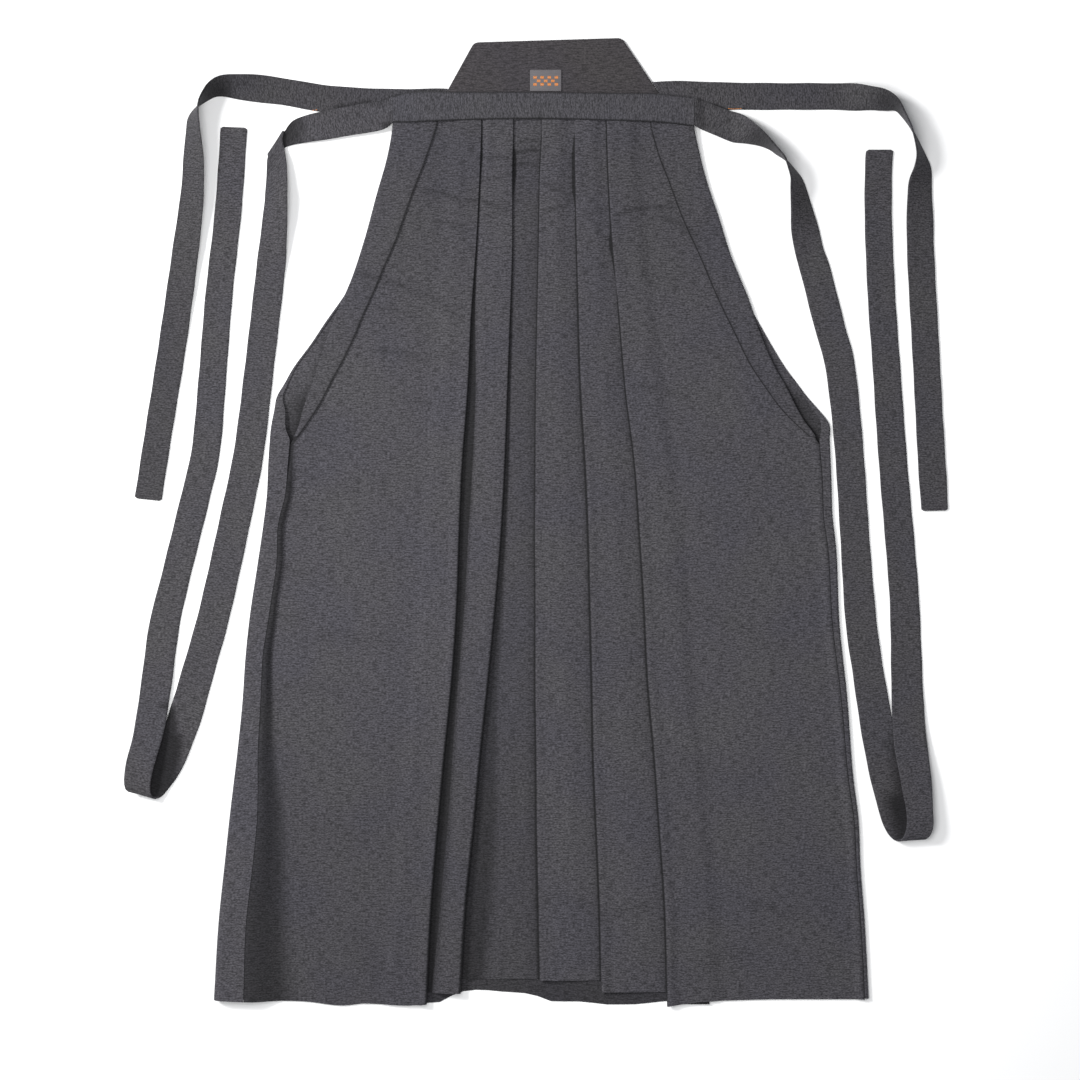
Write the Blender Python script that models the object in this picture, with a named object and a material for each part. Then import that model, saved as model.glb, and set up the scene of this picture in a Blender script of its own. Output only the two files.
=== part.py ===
"""Hakama: pleated East Asian trousers, laid out flat on a table with the front upwards.

Every cloth is a thin closed wall. They lie in the order in which the garment is laid
out: the back cloths, the board and its rear straps on the table, then the two front
cloths in their knife pleats, the bands along the side openings, and last the folded
front band with its long straps.

+X is to the right, +Y towards the board and +Z up. The origin is on the table, under
the middle of the garment. All sizes below are in millimetres; meshes are in metres.
"""
import math

import bpy
import numpy as np

MM = 0.001

# Cloth
WALL = 1.0            # one cloth
GAP = 0.3             # clear space between two pieces
PITCH = WALL + GAP    # from the middle of one cloth to the middle of the next
STRAP = 2.0           # a strap is a doubled cloth
BOARD = 4.0           # stiff board with its cover
LABEL = 1.0

# Heights of the middle of a cloth above the table
BACK_Z = WALL / 2
BAND_BACK_Z = BOARD + GAP + WALL / 2
STACK_Z = BAND_BACK_Z + PITCH                  # lowest front cloth inside the band
BAND_FRONT_Z = STACK_Z + 3 * PITCH             # front band over three cloths
BAND_END_Z = STACK_Z + 2 * PITCH               # front band over two cloths

# Lengths along Y
BAND_INSIDE = 432.0   # the front cloths end here, inside the folded band
BOARD_FOOT = 416.1    # lower edge of the board
OPENING_FOOT = 83.0   # where the side openings end and the side seams begin
HEM = -490.0          # mean line of the hems
ROWS = (432, 411, 396, 378, 352, 320, 291, 250, 229, 208, 184, 158, 130, 115, 95, 88,
        78, 60, 27, -2, -50, -121, -185, -245, -307, -370, -430, -465, HEM)
HEM_EASE = {-430: 0.1, -465: 0.4, HEM: 1.0}   # how far a row follows its piece's own hem

# Pleats
SEAM_PAST_CENTRE = 8.0   # hidden centre seam, to the right of the centre fold
SLOPE_WAY = 16.0         # a cloth comes down from a pleat over this length
KNEE = 12.0              # a lifted fold is level again this far from its edge
RIGHT_FALL = 9.0         # the right front comes down from its seam over this length


class Table:
    """Rows of sizes with named columns, read smoothly at any place between the rows."""

    def __init__(self, names, *rows):
        self.names = names.split()
        self.rows = np.array(sorted(rows), float)

    def at(self, name, place):
        knots = self.rows[:, 0]
        values = self.rows[:, self.names.index(name)]
        place = min(max(place, knots[0]), knots[-1])
        i = min(int(np.searchsorted(knots, place, side="right")) - 1, len(knots) - 2)
        slopes = np.gradient(values, knots)
        steps = np.diff(values) / np.diff(knots)
        slopes[1:-1][steps[:-1] * steps[1:] <= 0] = 0.0   # level at a peak, so never past it
        span = knots[i + 1] - knots[i]
        s = (place - knots[i]) / span
        return float((1 + 2 * s) * (1 - s) ** 2 * values[i] + s * s * (3 - 2 * s) * values[i + 1]
                     + span * (s * (1 - s) ** 2 * slopes[i] - s * s * (1 - s) * slopes[i + 1]))


# Each side, measured outwards from the centre line: the back cloth's outer line, and how
# far the cloth laps round on to the front.
LEFT_SIDE = Table("y back lap",
                  (432, 103, 5), (411, 112, 5), (378, 127, 5), (339, 145, 5), (291, 168, 5),
                  (250, 188, 5), (229, 202, 5), (208, 217, 5), (184, 233, 5), (158, 252, 5),
                  (142, 261, 5), (130, 268, 6), (115, 271, 11.5), (95, 274.5, 16),
                  (83, 275.5, 21), (60, 277, 20.5), (27, 278.5, 19), (-2, 282, 15.5),
                  (-50, 289, 20), (-93, 295.5, 20), (-140, 300.5, 18), (-185, 303.5, 19),
                  (-230, 308, 21), (-307, 317, 29), (-350, 321.5, 29.5), (-408, 327.5, 29),
                  (HEM, 332.5, 31))
RIGHT_SIDE = Table("y back lap",
                   (432, 134, 5), (411, 140, 5), (378, 149, 5), (339, 161, 5), (291, 183, 5),
                   (250, 204, 5), (229, 216, 5), (208, 227.5, 5), (184, 241, 5),
                   (158, 257, 5), (142, 269, 5), (130, 278, 5), (115, 291, 5.5),
                   (103, 300.5, 8), (83, 301.8, 10.5), (43, 303.5, 9), (2, 305, 9),
                   (-18, 307.5, 8.5), (-107, 312, 7), (-178, 319.5, 6), (-267, 326.5, 5),
                   (-307, 331.5, 4.5), (-355, 333.5, 4), (-408, 337.5, 4), (HEM, 342, 4))

# The side openings: the front cloth's outer line and the width of its folded band.
LEFT_OPENING = Table("y front band",
                     (432, 148, 49), (411, 148.5, 46), (378, 154, 41), (339, 165, 37),
                     (291, 178, 33), (250, 191.5, 29), (208, 210, 29), (173, 222.5, 26),
                     (142, 232, 19), (118, 240.5, 15), (95, 247, 6), (OPENING_FOOT, 253.5, 4))
RIGHT_OPENING = Table("y front band",
                      (432, 160.5, 46), (411, 161.2, 45), (382, 167, 43.5), (348, 176, 39.5),
                      (314, 187.5, 38.5), (277, 199, 33), (229, 218.5, 32), (193, 231, 27),
                      (160, 245.5, 25), (137, 258.5, 22.5), (116, 269, 17.5), (103, 276.5, 12.5),
                      (92, 285, 9), (OPENING_FOOT, 290.5, 4))

# The pleats' fold edges, from left to right; p1 and p2 face right, the others left.
PLEATS = Table("y p1 p2 p3 p4 p5",
               (432, -57, -24, 5, 38.5, 71), (411, -57, -24, 5, 38.5, 71.5),
               (352, -59, -25, 2.5, 39, 73.5), (291, -62, -25, 1.5, 40.5, 77),
               (218, -67, -27, 0, 42.5, 84), (136, -71, -30, -1.5, 45, 91),
               (54, -77, -33, -2, 50, 101), (-18, -80, -37, -2.5, 53, 106),
               (-80, -82, -42, -2, 54.5, 110), (-163, -87.5, -50, -2, 56.5, 114),
               (-245, -95.5, -58.5, -1, 58, 121), (-317, -102, -65, -0.5, 61, 126),
               (-389, -108, -72.5, 1, 64, 131), (HEM, -113.5, -78.5, 2.5, 66, 134))

# How far each fold edge springs up above its flat height, and the open recess beside p1.
SPRING = Table("y p1 p2 p3 p4 p5 recess",
               (411, 0, 0, 0, 0, 0, 1), (390, 0.2, 0.4, 0.2, 0.5, 0.2, 1),
               (374, 0.8, 1.8, 0.2, 1.2, 0.2, 1), (358, 0.4, 2.0, 0.3, 1.9, 0.3, 1),
               (340, 0.4, 1.4, 0.3, 1.7, 0.3, 1), (325, 0.5, 0.5, 0.4, 0.6, 0.6, 1),
               (286, 0.7, 0.6, 0.6, 0.9, 1.4, 1), (262, 0.9, 0.8, 0.7, 1.0, 0.8, 1.3),
               (218, 1.2, 1.0, 0.8, 1.2, 0.8, 3), (120, 1.8, 1.6, 0.9, 1.6, 1.0, 8),
               (54, 2.2, 2.4, 1.0, 1.8, 1.2, 10),
               (-18, 2.6, 3.2, 1.1, 2.0, 1.4, 8.5), (-163, 3.2, 4.2, 1.2, 2.0, 1.8, 6),
               (-317, 4.2, 5.6, 1.5, 2.2, 2.2, 9), (-408, 4.8, 6.4, 1.8, 2.2, 2.4, 8),
               (HEM, 5, 7, 2.0, 2.2, 2.6, 4.5))

# Height of the lowest front cloth, the radius of each side's turn, and how far the left
# front takes to come down from its seam: the left side is a soft roll that grows to the hem.
HEIGHTS = Table("y base left_turn right_turn left_fall",
                (432, STACK_Z, 0.65, 0.65, 9), (408, STACK_Z, 0.65, 0.65, 9),
                (396, 5.4, 0.65, 0.65, 9), (378, 4.3, 0.65, 0.65, 9), (352, 3.3, 0.65, 0.65, 9),
                (330, 3.1, 0.65, 0.65, 9), (200, 3.1, 0.65, 0.65, 9), (130, 3.1, 1.2, 0.65, 9),
                (95, 3.1, 3.0, 1.2, 8), (60, 2.6, 3.2, 1.4, 7), (27, 2.0, 3.0, 1.5, 7),
                (-2, 1.8, 2.8, 1.6, 7), (-140, 1.8, 3.2, 1.8, 9), (-240, 1.8, 3.8, 2.0, 14),
                (-330, 1.8, 4.8, 2.1, 22), (-408, 1.8, 6.0, 2.1, 32), (HEM, 1.8, 7.0, 2.1, 40))

# Hems, from left to right
LEFT_FRONT_HEM = Table("x hem", (-332, -491), (-300, -493), (-237, -494.5), (-200, -498.5),
                       (-178, -496.5), (-136, -498), (-113, -496.5))
RIGHT_FRONT_HEM = Table("x hem", (95, -500), (134, -498.9), (158, -495.5), (209, -493),
                        (260, -492), (342, -492))
BACK_HEM = Table("x hem", (-342, -491), (-300, -493), (-237, -493.5), (-113, -496), (-100, -495),
                 (-85, -487), (-23, -485), (1, -489), (17, -494.5), (48, -494.5),
                 (64, -497), (96, -497.5), (134, -494), (209, -491), (342, -491))
STRIP_1_HEM = -485.0
STRIP_2_HEM = -471.0
STRIP_3_HEM = -472.5
STRIP_4_HEM = -484.5
INNER_HEM = 2.0       # a hidden return ends this much higher than the strip it carries

# Front band, from left to right: its upper and lower edges
BAND = Table("x top foot",
             (-148.3, 437.5, 411), (-141, 439.8, 411), (-84.5, 442.4, 413), (-6, 442.4, 414.5),
             (69, 441.4, 413), (136, 439.8, 410), (161.7, 436.7, 407))
BAND_COLUMNS = (-148.3, -141, -112, -84.5, -45, -6, 30, 69, 103, 136, 150, 161.7)
BAND_LEVEL_FROM = -112.0   # between these two the band lies at its full height
BAND_LEVEL_TO = 125.0
BAND_HIDDEN_EDGE = 6.0     # its back leaf ends this much higher than its front leaf

# Board: four corners, upper left first, and the radius of its upper corners
BOARD_CORNERS = ((-64.9, 494.4), (-108.2, BOARD_FOOT), (143.2, BOARD_FOOT), (87.5, 499.0))
BOARD_BEVEL = 0.8
BOARD_CORNER_ROUND = 5.0

LABEL_LOW = (-7.2, 443.9)
LABEL_HIGH = (25.2, 466.0)
LABEL_BEVEL = 0.3

# Straps: the middle line, the direction across the strap from its outer edge to its inner
# one, the width, the tilt about its own length, and the clear height under it. At three
# corners the outer edge rises and turns right over, so the tilt goes from 0 to -180. At the
# fourth the strap is folded flat along a slanting line, and comes back over itself.
REAR_STRAP_LEFT = (
    # x, y, across, width, tilt, lift
    (-99.7, 432.6, -119, 32.5, 0, 1.0), (-141, 432.3, -90, 28.5, 0, 0.8),
    (-210, 435.7, -88, 28.5, 0, 0), (-270, 445, -80, 29, -5, 0), (-304.8, 447.2, -80, 29, -30, 0),
    (-323.1, 447.6, -76, 28, -50, 0), (-333.2, 443.9, -63, 28, -67, 0),
    (-338.8, 438.8, -53, 28.5, -78, 0), (-345.5, 431.2, -40, 29, -92, 0),
    (-350, 423.5, -27, 29, -107, 0), (-352.9, 413.6, -18, 29, -121, 0),
    (-353.1, 400, -12, 29, -129, 0), (-353.2, 376, -7, 29, -143, 0), (-354.8, 338, -5, 29, -153, 0),
    (-362, 281, -5, 28.5, -168, 0), (-376, 183, -6, 28.5, -180, 0), (-390, 95, -6, 28, -180, 0),
    (-401.2, 23.2, -6, 28, -180, 0))
REAR_STRAP_RIGHT = (
    (127.6, 440.3, -56, 32.5, 0, 1.0), (168, 440.3, -88, 28, 0, 0.8),
    (202, 439.3, -91, 28, 0, 0), (257, 439, -90, 27.5, 0, 0), (313, 438.8, -90, 27.5, 0, 0),
    (339.7, 436.3, -90, 28, -34, 0), (355.5, 433.8, -97, 28, -47, 0),
    (364.8, 429.6, -115, 28, -66, 0), (371, 425.8, -131, 28, -84, 0),
    (375.5, 419.5, -146, 28, -91, 0), (381.1, 410.8, -155, 28, -96, 0),
    (384.6, 404.4, -159, 28, -99, 0), (390, 391.2, -166, 28, -106, 0),
    (394.6, 376.8, -171, 28, -117, 0), (396.3, 364.5, -175, 28, -135, 0),
    (394.5, 351.5, -178, 28.3, -151, 0), (394, 338, -179, 28.5, -158, 0),
    (394.5, 313, -180, 28.8, -168, 0), (396, 265, -180, 28.3, -176, 0), (400.7, 181, -180, 28, -180, 0),
    (404, 118, -179, 28, -180, 0), (407.6, 54, -178, 28.5, -180, 0),
    (410.2, 11.6, -179, 27.5, -180, 0))
FRONT_STRAP_LEFT = (
    (-148.9, 424.2, -90, 27, 0, 5.9), (-160, 418.6, -80, 28.8, 0, 4.9), (-183, 415, -78, 30.5, 0, 3.6),
    (-222, 408, -77, 29, 0, 3.0), (-238, 405.3, -90, 28.5, 0, 1.2), (-252.5, 402, -104.5, 28, 0, 0),
    (-267.6, 389.9, -122, 31, 0, 0.1), (-269.3, 391, -123, 31, 0, 1.9), (-269, 388.2, -124, 29.5, 0, 3.7),
    (-270, 383.6, -126.5, 27.5, 0, 3.9), (-269.4, 374.3, -130, 28.3, 0, 3.4),
    (-268.5, 363, -139, 28.5, -12, 1.4), (-268.4, 346.1, -153, 29.4, -22, 0.1),
    (-268.7, 329.6, -174, 29, -29, 0),
    (-271.5, 292, -186, 29, -13, 0), (-275.5, 253, -186, 30, 0, 0),
    (-286, 163, -186, 30, 0, 0), (-297, 74, -188, 31, 0, 0), (-309.5, 11, -189, 32, 0, 0),
    (-332, -91, -191, 32.5, 0, 0), (-349, -155, -193, 31.5, 0, 0), (-361, -197, -195, 32.5, 0, 0),
    (-373, -231, -198, 31.8, 0, 0), (-383.5, -255, -200, 30.3, 0, 0), (-394, -271, -200, 28.5, 0, 1.2),
    (-400.5, -278.5, -198, 28, 0, 3.5), (-405, -280.5, -196, 28, 0, 7.0),
    (-409, -278, -195, 28, 0, 11.0), (-410.4, -269, -194, 28, 0, 13.2),
    (-408, -250, -190, 28.5, 0, 11.5), (-401, -217, -186, 30, 0, 7.0),
    (-393, -172, -184, 31.5, 0, 2.2), (-384.5, -107, -184, 31.5, 0, 0),
    (-373.5, -60, -185, 30, 0, 0), (-353, 23, -185, 30, 0, 0), (-341.5, 75, -184, 29.5, 0, 0),
    (-335, 147, -183, 28.5, 0, 0), (-328, 235, -183, 28, 0, 0), (-318.3, 324, -183, 27.5, 0, 0),
    (-312.6, 407.2, -182, 27.5, 0, 0))
FRONT_STRAP_RIGHT = (
    (162.3, 421.8, -90, 27.5, 0, 5.9), (172, 418.3, -98, 29, 0, 4.9), (193, 410.3, -108, 29.5, 0, 3.0),
    (203, 406.8, -113, 30, -8, 1.4), (211.9, 402.2, -119, 29.5, -31, 0.2),
    (217.7, 399.3, -123, 29, -45, 0), (224.4, 396, -126, 29, -58, 0), (232.4, 391.5, -131, 29, -73, 0),
    (240.9, 385.5, -138, 29, -85, 0), (247.7, 379.3, -142, 29, -90, 0),
    (254.9, 372.8, -148, 29, -97, 0), (261.3, 362.5, -161, 29, -108, 0),
    (266.2, 353.4, -170, 29, -118, 0), (268.3, 344.4, -174, 29, -127, 0),
    (270.5, 332.3, -176, 29, -137, 0), (273.4, 316.2, -177, 29.6, -150, 0),
    (276.6, 298.2, -177, 30.5, -166, 0), (280.7, 280, -176, 30.8, -174, 0),
    (287.5, 258, -176, 31.5, -180, 0), (302.5, 199, -176, 31.5, -180, 0), (311, 169, -177, 31, -180, 0),
    (317, 126, -178, 30, -180, 0), (322.7, 63, -177, 29.5, -180, 0), (328, -19, -177, 30, -180, 0),
    (334, -101, -176, 32, -180, 0), (341.5, -155, -175, 32, -180, 0), (350.7, -214, -173, 33, -180, 0),
    (359, -262, -172, 31, -180, 0), (368, -299, -171, 29.5, -180, 0), (373.5, -315, -172, 29, -180, 1.4),
    (378.5, -323.5, -174, 28, -180, 4.2), (384, -326.8, -176, 27.5, -180, 8.0),
    (389.5, -323.5, -177, 27.5, -180, 11.8), (393, -312, -177, 27.5, -180, 13.6),
    (392.5, -293, -175, 28, -180, 12.6), (390, -262, -173, 30.5, -180, 9.0),
    (385.5, -228, -175, 32.5, -180, 4.5), (382.7, -183, -178, 32, -180, 0.8),
    (379.3, -89, -179, 30.5, -180, 0), (374, -18, -180, 30, -180, 0),
    (369, 39, -180, 29.5, -180, 0), (364, 105, -180, 29, -180, 0), (360, 166, -180, 28.5, -180, 0),
    (355.5, 229, -180, 28.5, -180, 0), (352, 310, -180, 28, -180, 0), (352.3, 366, -180, 28, -180, 0),
    (353.6, 384, -180, 28, -180, 0))
STRAP_STEPS = 2       # sections made between two rows of a strap's table, or more of them
TWIST_STEP = 5.0      # where the tilt changes by more than this many degrees from one to the next

CLOTH_COLOUR = (0.070, 0.070, 0.077, 1.0)
STRAP_COLOUR = (0.064, 0.064, 0.071, 1.0)
LABEL_COLOUR = (0.150, 0.142, 0.150, 1.0)


def clear_scene():
    for item in list(bpy.data.objects):
        bpy.data.objects.remove(item, do_unlink=True)


def material(name, colour, roughness):
    made = bpy.data.materials.new(name)
    made.use_nodes = True
    shader = made.node_tree.nodes["Principled BSDF"]
    shader.inputs["Base Color"].default_value = colour
    shader.inputs["Roughness"].default_value = roughness
    shader.inputs["Metallic"].default_value = 0.0
    return made


def add_object(name, points, faces, colour, roughness, smooth=True):
    """Make a mesh object from points in millimetres, with its faces pointing out."""
    points = np.array(points, float) * MM
    volume = 0.0
    for face in faces:
        for j in range(1, len(face) - 1):
            a, b, c = points[face[0]], points[face[j]], points[face[j + 1]]
            volume += float(np.dot(a, np.cross(b, c)))
    if volume < 0:
        faces = [tuple(reversed(face)) for face in faces]
    mesh = bpy.data.meshes.new(name)
    mesh.from_pydata([tuple(p) for p in points], [], faces)
    mesh.update()
    made = bpy.data.objects.new(name, mesh)
    bpy.context.scene.collection.objects.link(made)
    made.data.materials.append(material(name, colour, roughness))
    if smooth:
        mesh.shade_smooth()
        mesh.set_sharp_from_angle(angle=math.radians(50))
    return made


def loft(name, loops, colour, roughness=0.9):
    """Join closed sections of a wall, one side's points and then the other's reversed."""
    size = len(loops[0])
    half = size // 2
    points = [point for loop in loops for point in loop]
    faces = []
    for i in range(len(loops) - 1):
        for j in range(size):
            k = (j + 1) % size
            faces.append((i * size + j, i * size + k, (i + 1) * size + k, (i + 1) * size + j))
    last = (len(loops) - 1) * size
    for j in range(half - 1):
        faces.append((j + 1, j, size - 1 - j, size - 2 - j))
        faces.append((last + j, last + j + 1, last + size - 2 - j, last + size - 1 - j))
    return add_object(name, points, faces, colour, roughness)


def thicken(line, wall=WALL):
    """Closed outline of a wall round a line of (a, b) points."""
    line = np.array(line, float)
    steps = np.diff(line, axis=0)
    normals = np.stack([-steps[:, 1], steps[:, 0]], axis=1)
    normals /= np.linalg.norm(normals, axis=1)[:, None]
    corner = np.vstack([normals[:1], normals[:-1] + normals[1:], normals[-1:]])
    corner /= np.linalg.norm(corner, axis=1)[:, None]
    upper = line + corner * wall / 2
    lower = line - corner * wall / 2
    return np.vstack([upper, lower[::-1]])


def turn(edge, high, low, facing, steps=4):
    """Round a fold from the upper cloth to the lower one; edge is its outermost line."""
    radius = (high - low) / 2
    centre = edge - facing * (WALL / 2 + radius)
    middle = (high + low) / 2
    angles = [math.pi / 2 - math.pi * k / steps for k in range(steps + 1)]
    return [(centre + facing * radius * math.cos(a), middle + radius * math.sin(a))
            for a in angles]


def row_y(row, hem):
    return row + HEM_EASE.get(row, 0.0) * (hem - HEM)


def cloth(name, rows, line_at, colour=CLOTH_COLOUR):
    """Loft a cloth from a function that gives each row's (x, z, hem) points."""
    loops = []
    for row in rows:
        line = line_at(row)
        outline = thicken([(x, z) for x, z, _ in line])
        hems = [hem for _, _, hem in line]
        hems += hems[::-1]
        loops.append([(x, row_y(row, hem), z) for (x, z), hem in zip(outline, hems)])
    return loft(name, loops, colour)


def base(y):
    return HEIGHTS.at("base", y)


def lap_z(y, turn_name):
    """Height of the back cloth where it laps on to the front."""
    return BACK_Z + 2 * HEIGHTS.at(turn_name, y)


def front_edge(side, opening, y):
    """Outer line of the front cloth, as a distance from the centre line."""
    if y > OPENING_FOOT:
        return opening.at("front", y) - WALL - 2 * GAP
    return side.at("back", y) - side.at("lap", y) - GAP


def edge_z(y, turn_name):
    """Height of the front cloth's outer line: on the back cloth, then beside its lap."""
    share = min(max((OPENING_FOOT - y) / 50.0, 0.0), 1.0)
    return base(y) + share * (lap_z(y, turn_name) - base(y))


def outer_panel(sign, side, opening, turn_name, fall, y, fold, spring, depth, hem):
    """The wide outer part of a front, from its outer line to its fold edge's turn."""
    outer = sign * front_edge(side, opening, y)
    inner_fold = fold + sign * depth
    foot = inner_fold + sign * SLOPE_WAY
    low, high = base(y), edge_z(y, turn_name)
    points = [(outer, high)]
    for way, share in ((0.0, 1.0), (0.3, 0.78), (0.7, 0.22), (1.0, 0.0)):
        points.append((outer - sign * (2.0 + way * fall), low + share * (high - low)))
    start = outer - sign * (18.0 + fall)
    points += [(start + (foot - start) * k / 4, low) for k in range(5)]
    points += [(inner_fold, low + 2 * PITCH),
               (fold + sign * KNEE, low + 2 * PITCH + 0.3 * spring)]
    return [(x, z, hem.at("hem", x)) for x, z in points]


def front_left_line(y):
    low = base(y)
    p1, p2, p3 = (PLEATS.at(name, y) for name in ("p1", "p2", "p3"))
    s1, s2 = SPRING.at("p1", y), SPRING.at("p2", y)
    down = (411 - y) / 901
    inner_1 = p1 - 20 - 14 * down
    rise = p1 + SPRING.at("recess", y)
    inner_2 = rise + 13
    hem = LEFT_FRONT_HEM.at("hem", p1)
    line = outer_panel(-1, LEFT_SIDE, LEFT_OPENING, "left_turn", HEIGHTS.at("left_fall", y), y, p1, s1,
                       p1 - inner_1, LEFT_FRONT_HEM)
    line += [(x, z, hem) for x, z in turn(p1, low + 2 * PITCH + s1, low + PITCH + s1 / 4, 1)]
    line.append((p1 - KNEE, low + PITCH, hem + INNER_HEM))
    line += [(x, z, STRIP_1_HEM - INNER_HEM) for x, z in turn(inner_1, low + PITCH, low, -1, 2)]
    line += [(x, z, STRIP_1_HEM) for x, z in (
        (p1 - KNEE, low), (rise, low), (rise + 7, low + 2 * PITCH + s2 / 2),
        (p2 - 10, low + 2 * PITCH + s2))]
    line += [(x, z, STRIP_1_HEM) for x, z in turn(p2, low + 2 * PITCH + s2, low + PITCH + s2 / 4, 1)]
    line += [(x, z, STRIP_2_HEM) for x, z in turn(inner_2, low + PITCH, low, -1, 2)]
    line += [(x, low, STRIP_2_HEM) for x in (p2, (p2 + p3) / 2, p3, p3 + SEAM_PAST_CENTRE)]
    return line


def left_facing_pleat(line, y, name, reach, hem, inner_hem):
    """Add a hidden inner fold and the fold edge above it, facing left."""
    low = base(y)
    fold = PLEATS.at(name, y)
    spring = SPRING.at(name, y)
    line += [(x, z, inner_hem) for x, z in reversed(turn(fold + reach, low + PITCH, low, 1, 2))]
    line.append((fold + KNEE, low + PITCH, inner_hem))
    edge = turn(fold, low + 2 * PITCH + spring, low + PITCH + spring / 4, -1)
    line += [(x, z, hem) for x, z in reversed(edge)]


def strip(line, y, fold, reach, next_fold, spring, hem):
    """Add the part of a strip that shows, which comes down to slip under the next one."""
    low = base(y)
    line += [(fold + KNEE, low + 2 * PITCH + 0.3 * spring, hem),
             (fold + reach, low + 2 * PITCH, hem), (next_fold - 3, low, hem),
             (next_fold + KNEE, low, hem)]


def front_right_line(y):
    low = base(y)
    p3, p4, p5 = (PLEATS.at(name, y) for name in ("p3", "p4", "p5"))
    down = (411 - y) / 901
    reach_3, reach_4, reach_5 = 0.45 * (p4 - p3), 0.45 * (p5 - p4), 20 + 24 * down
    line = [(p3 + SEAM_PAST_CENTRE + GAP, low, STRIP_2_HEM),
            (p3 + KNEE, low, STRIP_2_HEM)]
    left_facing_pleat(line, y, "p3", reach_3, STRIP_3_HEM, STRIP_2_HEM)
    strip(line, y, p3, reach_3, p4, SPRING.at("p3", y), STRIP_3_HEM)
    left_facing_pleat(line, y, "p4", reach_4, STRIP_4_HEM, STRIP_4_HEM + INNER_HEM)
    strip(line, y, p4, reach_4, p5, SPRING.at("p4", y), STRIP_4_HEM)
    hem = RIGHT_FRONT_HEM.at("hem", p5)
    left_facing_pleat(line, y, "p5", reach_5, hem, hem + INNER_HEM)
    outer = outer_panel(1, RIGHT_SIDE, RIGHT_OPENING, "right_turn", RIGHT_FALL, y, p5,
                        SPRING.at("p5", y), reach_5, RIGHT_FRONT_HEM)
    return line + outer[::-1]


def back_line(sign, side, turn_name, y):
    """A back cloth: flat on the table, turned at its outer line and lapped on the front."""
    outer = sign * side.at("back", y)
    high = lap_z(y, turn_name)
    fold = turn(outer, high, BACK_Z, sign)[::-1]
    lap_end = outer - sign * side.at("lap", y)
    lap_start = fold[-1][0]
    first = sign * GAP / 2
    flat = [(first + (fold[0][0] - first) * k / 6, BACK_Z) for k in range(6)]
    lap = [((lap_start + lap_end) / 2, high), (lap_end, high)]
    return [(x, z, BACK_HEM.at("hem", x)) for x, z in flat + fold + lap]


def side_band_line(sign, opening, y):
    """The folded band on a front cloth's outer edge, turned down over it."""
    outer = opening.at("front", y)
    width = opening.at("band", y)
    height = base(y) + PITCH
    bend = outer - 2.0
    points = [(outer - width, height), ((outer - width + bend) / 2, height), (bend, height),
              (outer - 0.9, height - 0.3), (outer - WALL / 2, height - PITCH)]
    return [(sign * x, z, 0.0) for x, z in points]


def front_band():
    loops = []
    for x in BAND_COLUMNS:
        share = min((x - BAND_COLUMNS[0]) / (BAND_LEVEL_FROM - BAND_COLUMNS[0]),
                    (BAND_COLUMNS[-1] - x) / (BAND_COLUMNS[-1] - BAND_LEVEL_TO), 1.0)
        front_z = BAND_END_Z + share * (BAND_FRONT_Z - BAND_END_Z)
        top, foot = BAND.at("top", x), BAND.at("foot", x)
        line = [(foot, front_z), ((top + foot) / 2, front_z)]
        line += turn(top, front_z, BAND_BACK_Z, 1)
        line += [(foot + BAND_HIDDEN_EDGE, BAND_BACK_Z)]
        loops.append([(x, y, z) for y, z in thicken(line)])
    return loft("front_band", loops, CLOTH_COLOUR)


def rounded_corner(before, corner, after, radius, steps=3):
    """Points of a rounded corner, as a quadratic curve that starts and ends on its sides."""
    corner = np.array(corner, float)
    start = corner + (np.array(before) - corner) / np.linalg.norm(np.array(before) - corner) * radius
    end = corner + (np.array(after) - corner) / np.linalg.norm(np.array(after) - corner) * radius
    return [tuple((1 - s) ** 2 * start + 2 * s * (1 - s) * corner + s * s * end)
            for s in (k / steps for k in range(steps + 1))]


def plate(name, outline, low, high, bevel, colour):
    """A flat plate from an outline, with its edges rounded by a Bevel modifier."""
    count = len(outline)
    points = [(x, y, low) for x, y in outline] + [(x, y, high) for x, y in outline]
    faces = [tuple(range(count)), tuple(range(2 * count - 1, count - 1, -1))]
    faces += [(j, count + j, count + (j + 1) % count, (j + 1) % count) for j in range(count)]
    made = add_object(name, points, faces, colour, 0.9, smooth=False)
    rounding = made.modifiers.new("Bevel", "BEVEL")
    rounding.width = bevel * MM
    rounding.segments = 2
    rounding.limit_method = "ANGLE"
    rounding.angle_limit = math.radians(50)
    return made


def back_board():
    upper_left, lower_left, lower_right, upper_right = BOARD_CORNERS
    outline = rounded_corner(upper_right, upper_left, lower_left, BOARD_CORNER_ROUND)
    outline += [lower_left, lower_right]
    outline += rounded_corner(lower_right, upper_right, upper_left, BOARD_CORNER_ROUND)
    return plate("back_board", outline, 0.0, BOARD, BOARD_BEVEL, CLOTH_COLOUR)


def label():
    (x0, y0), (x1, y1) = LABEL_LOW, LABEL_HIGH
    outline = [(x0, y0), (x1, y0), (x1, y1), (x0, y1)]
    low = BOARD + GAP
    return plate("label", outline, low, low + LABEL, LABEL_BEVEL, LABEL_COLOUR)


def blend(values, i, s):
    """Smooth value between rows i and i + 1 of a strap's table."""
    before = values[max(i - 1, 0)]
    after = values[min(i + 2, len(values) - 1)]
    a, b = values[i], values[i + 1]
    return 0.5 * (2 * a + (b - before) * s + (2 * before - 5 * a + 4 * b - after) * s * s
                  + (3 * a - before - 3 * b + after) * s ** 3)


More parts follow.
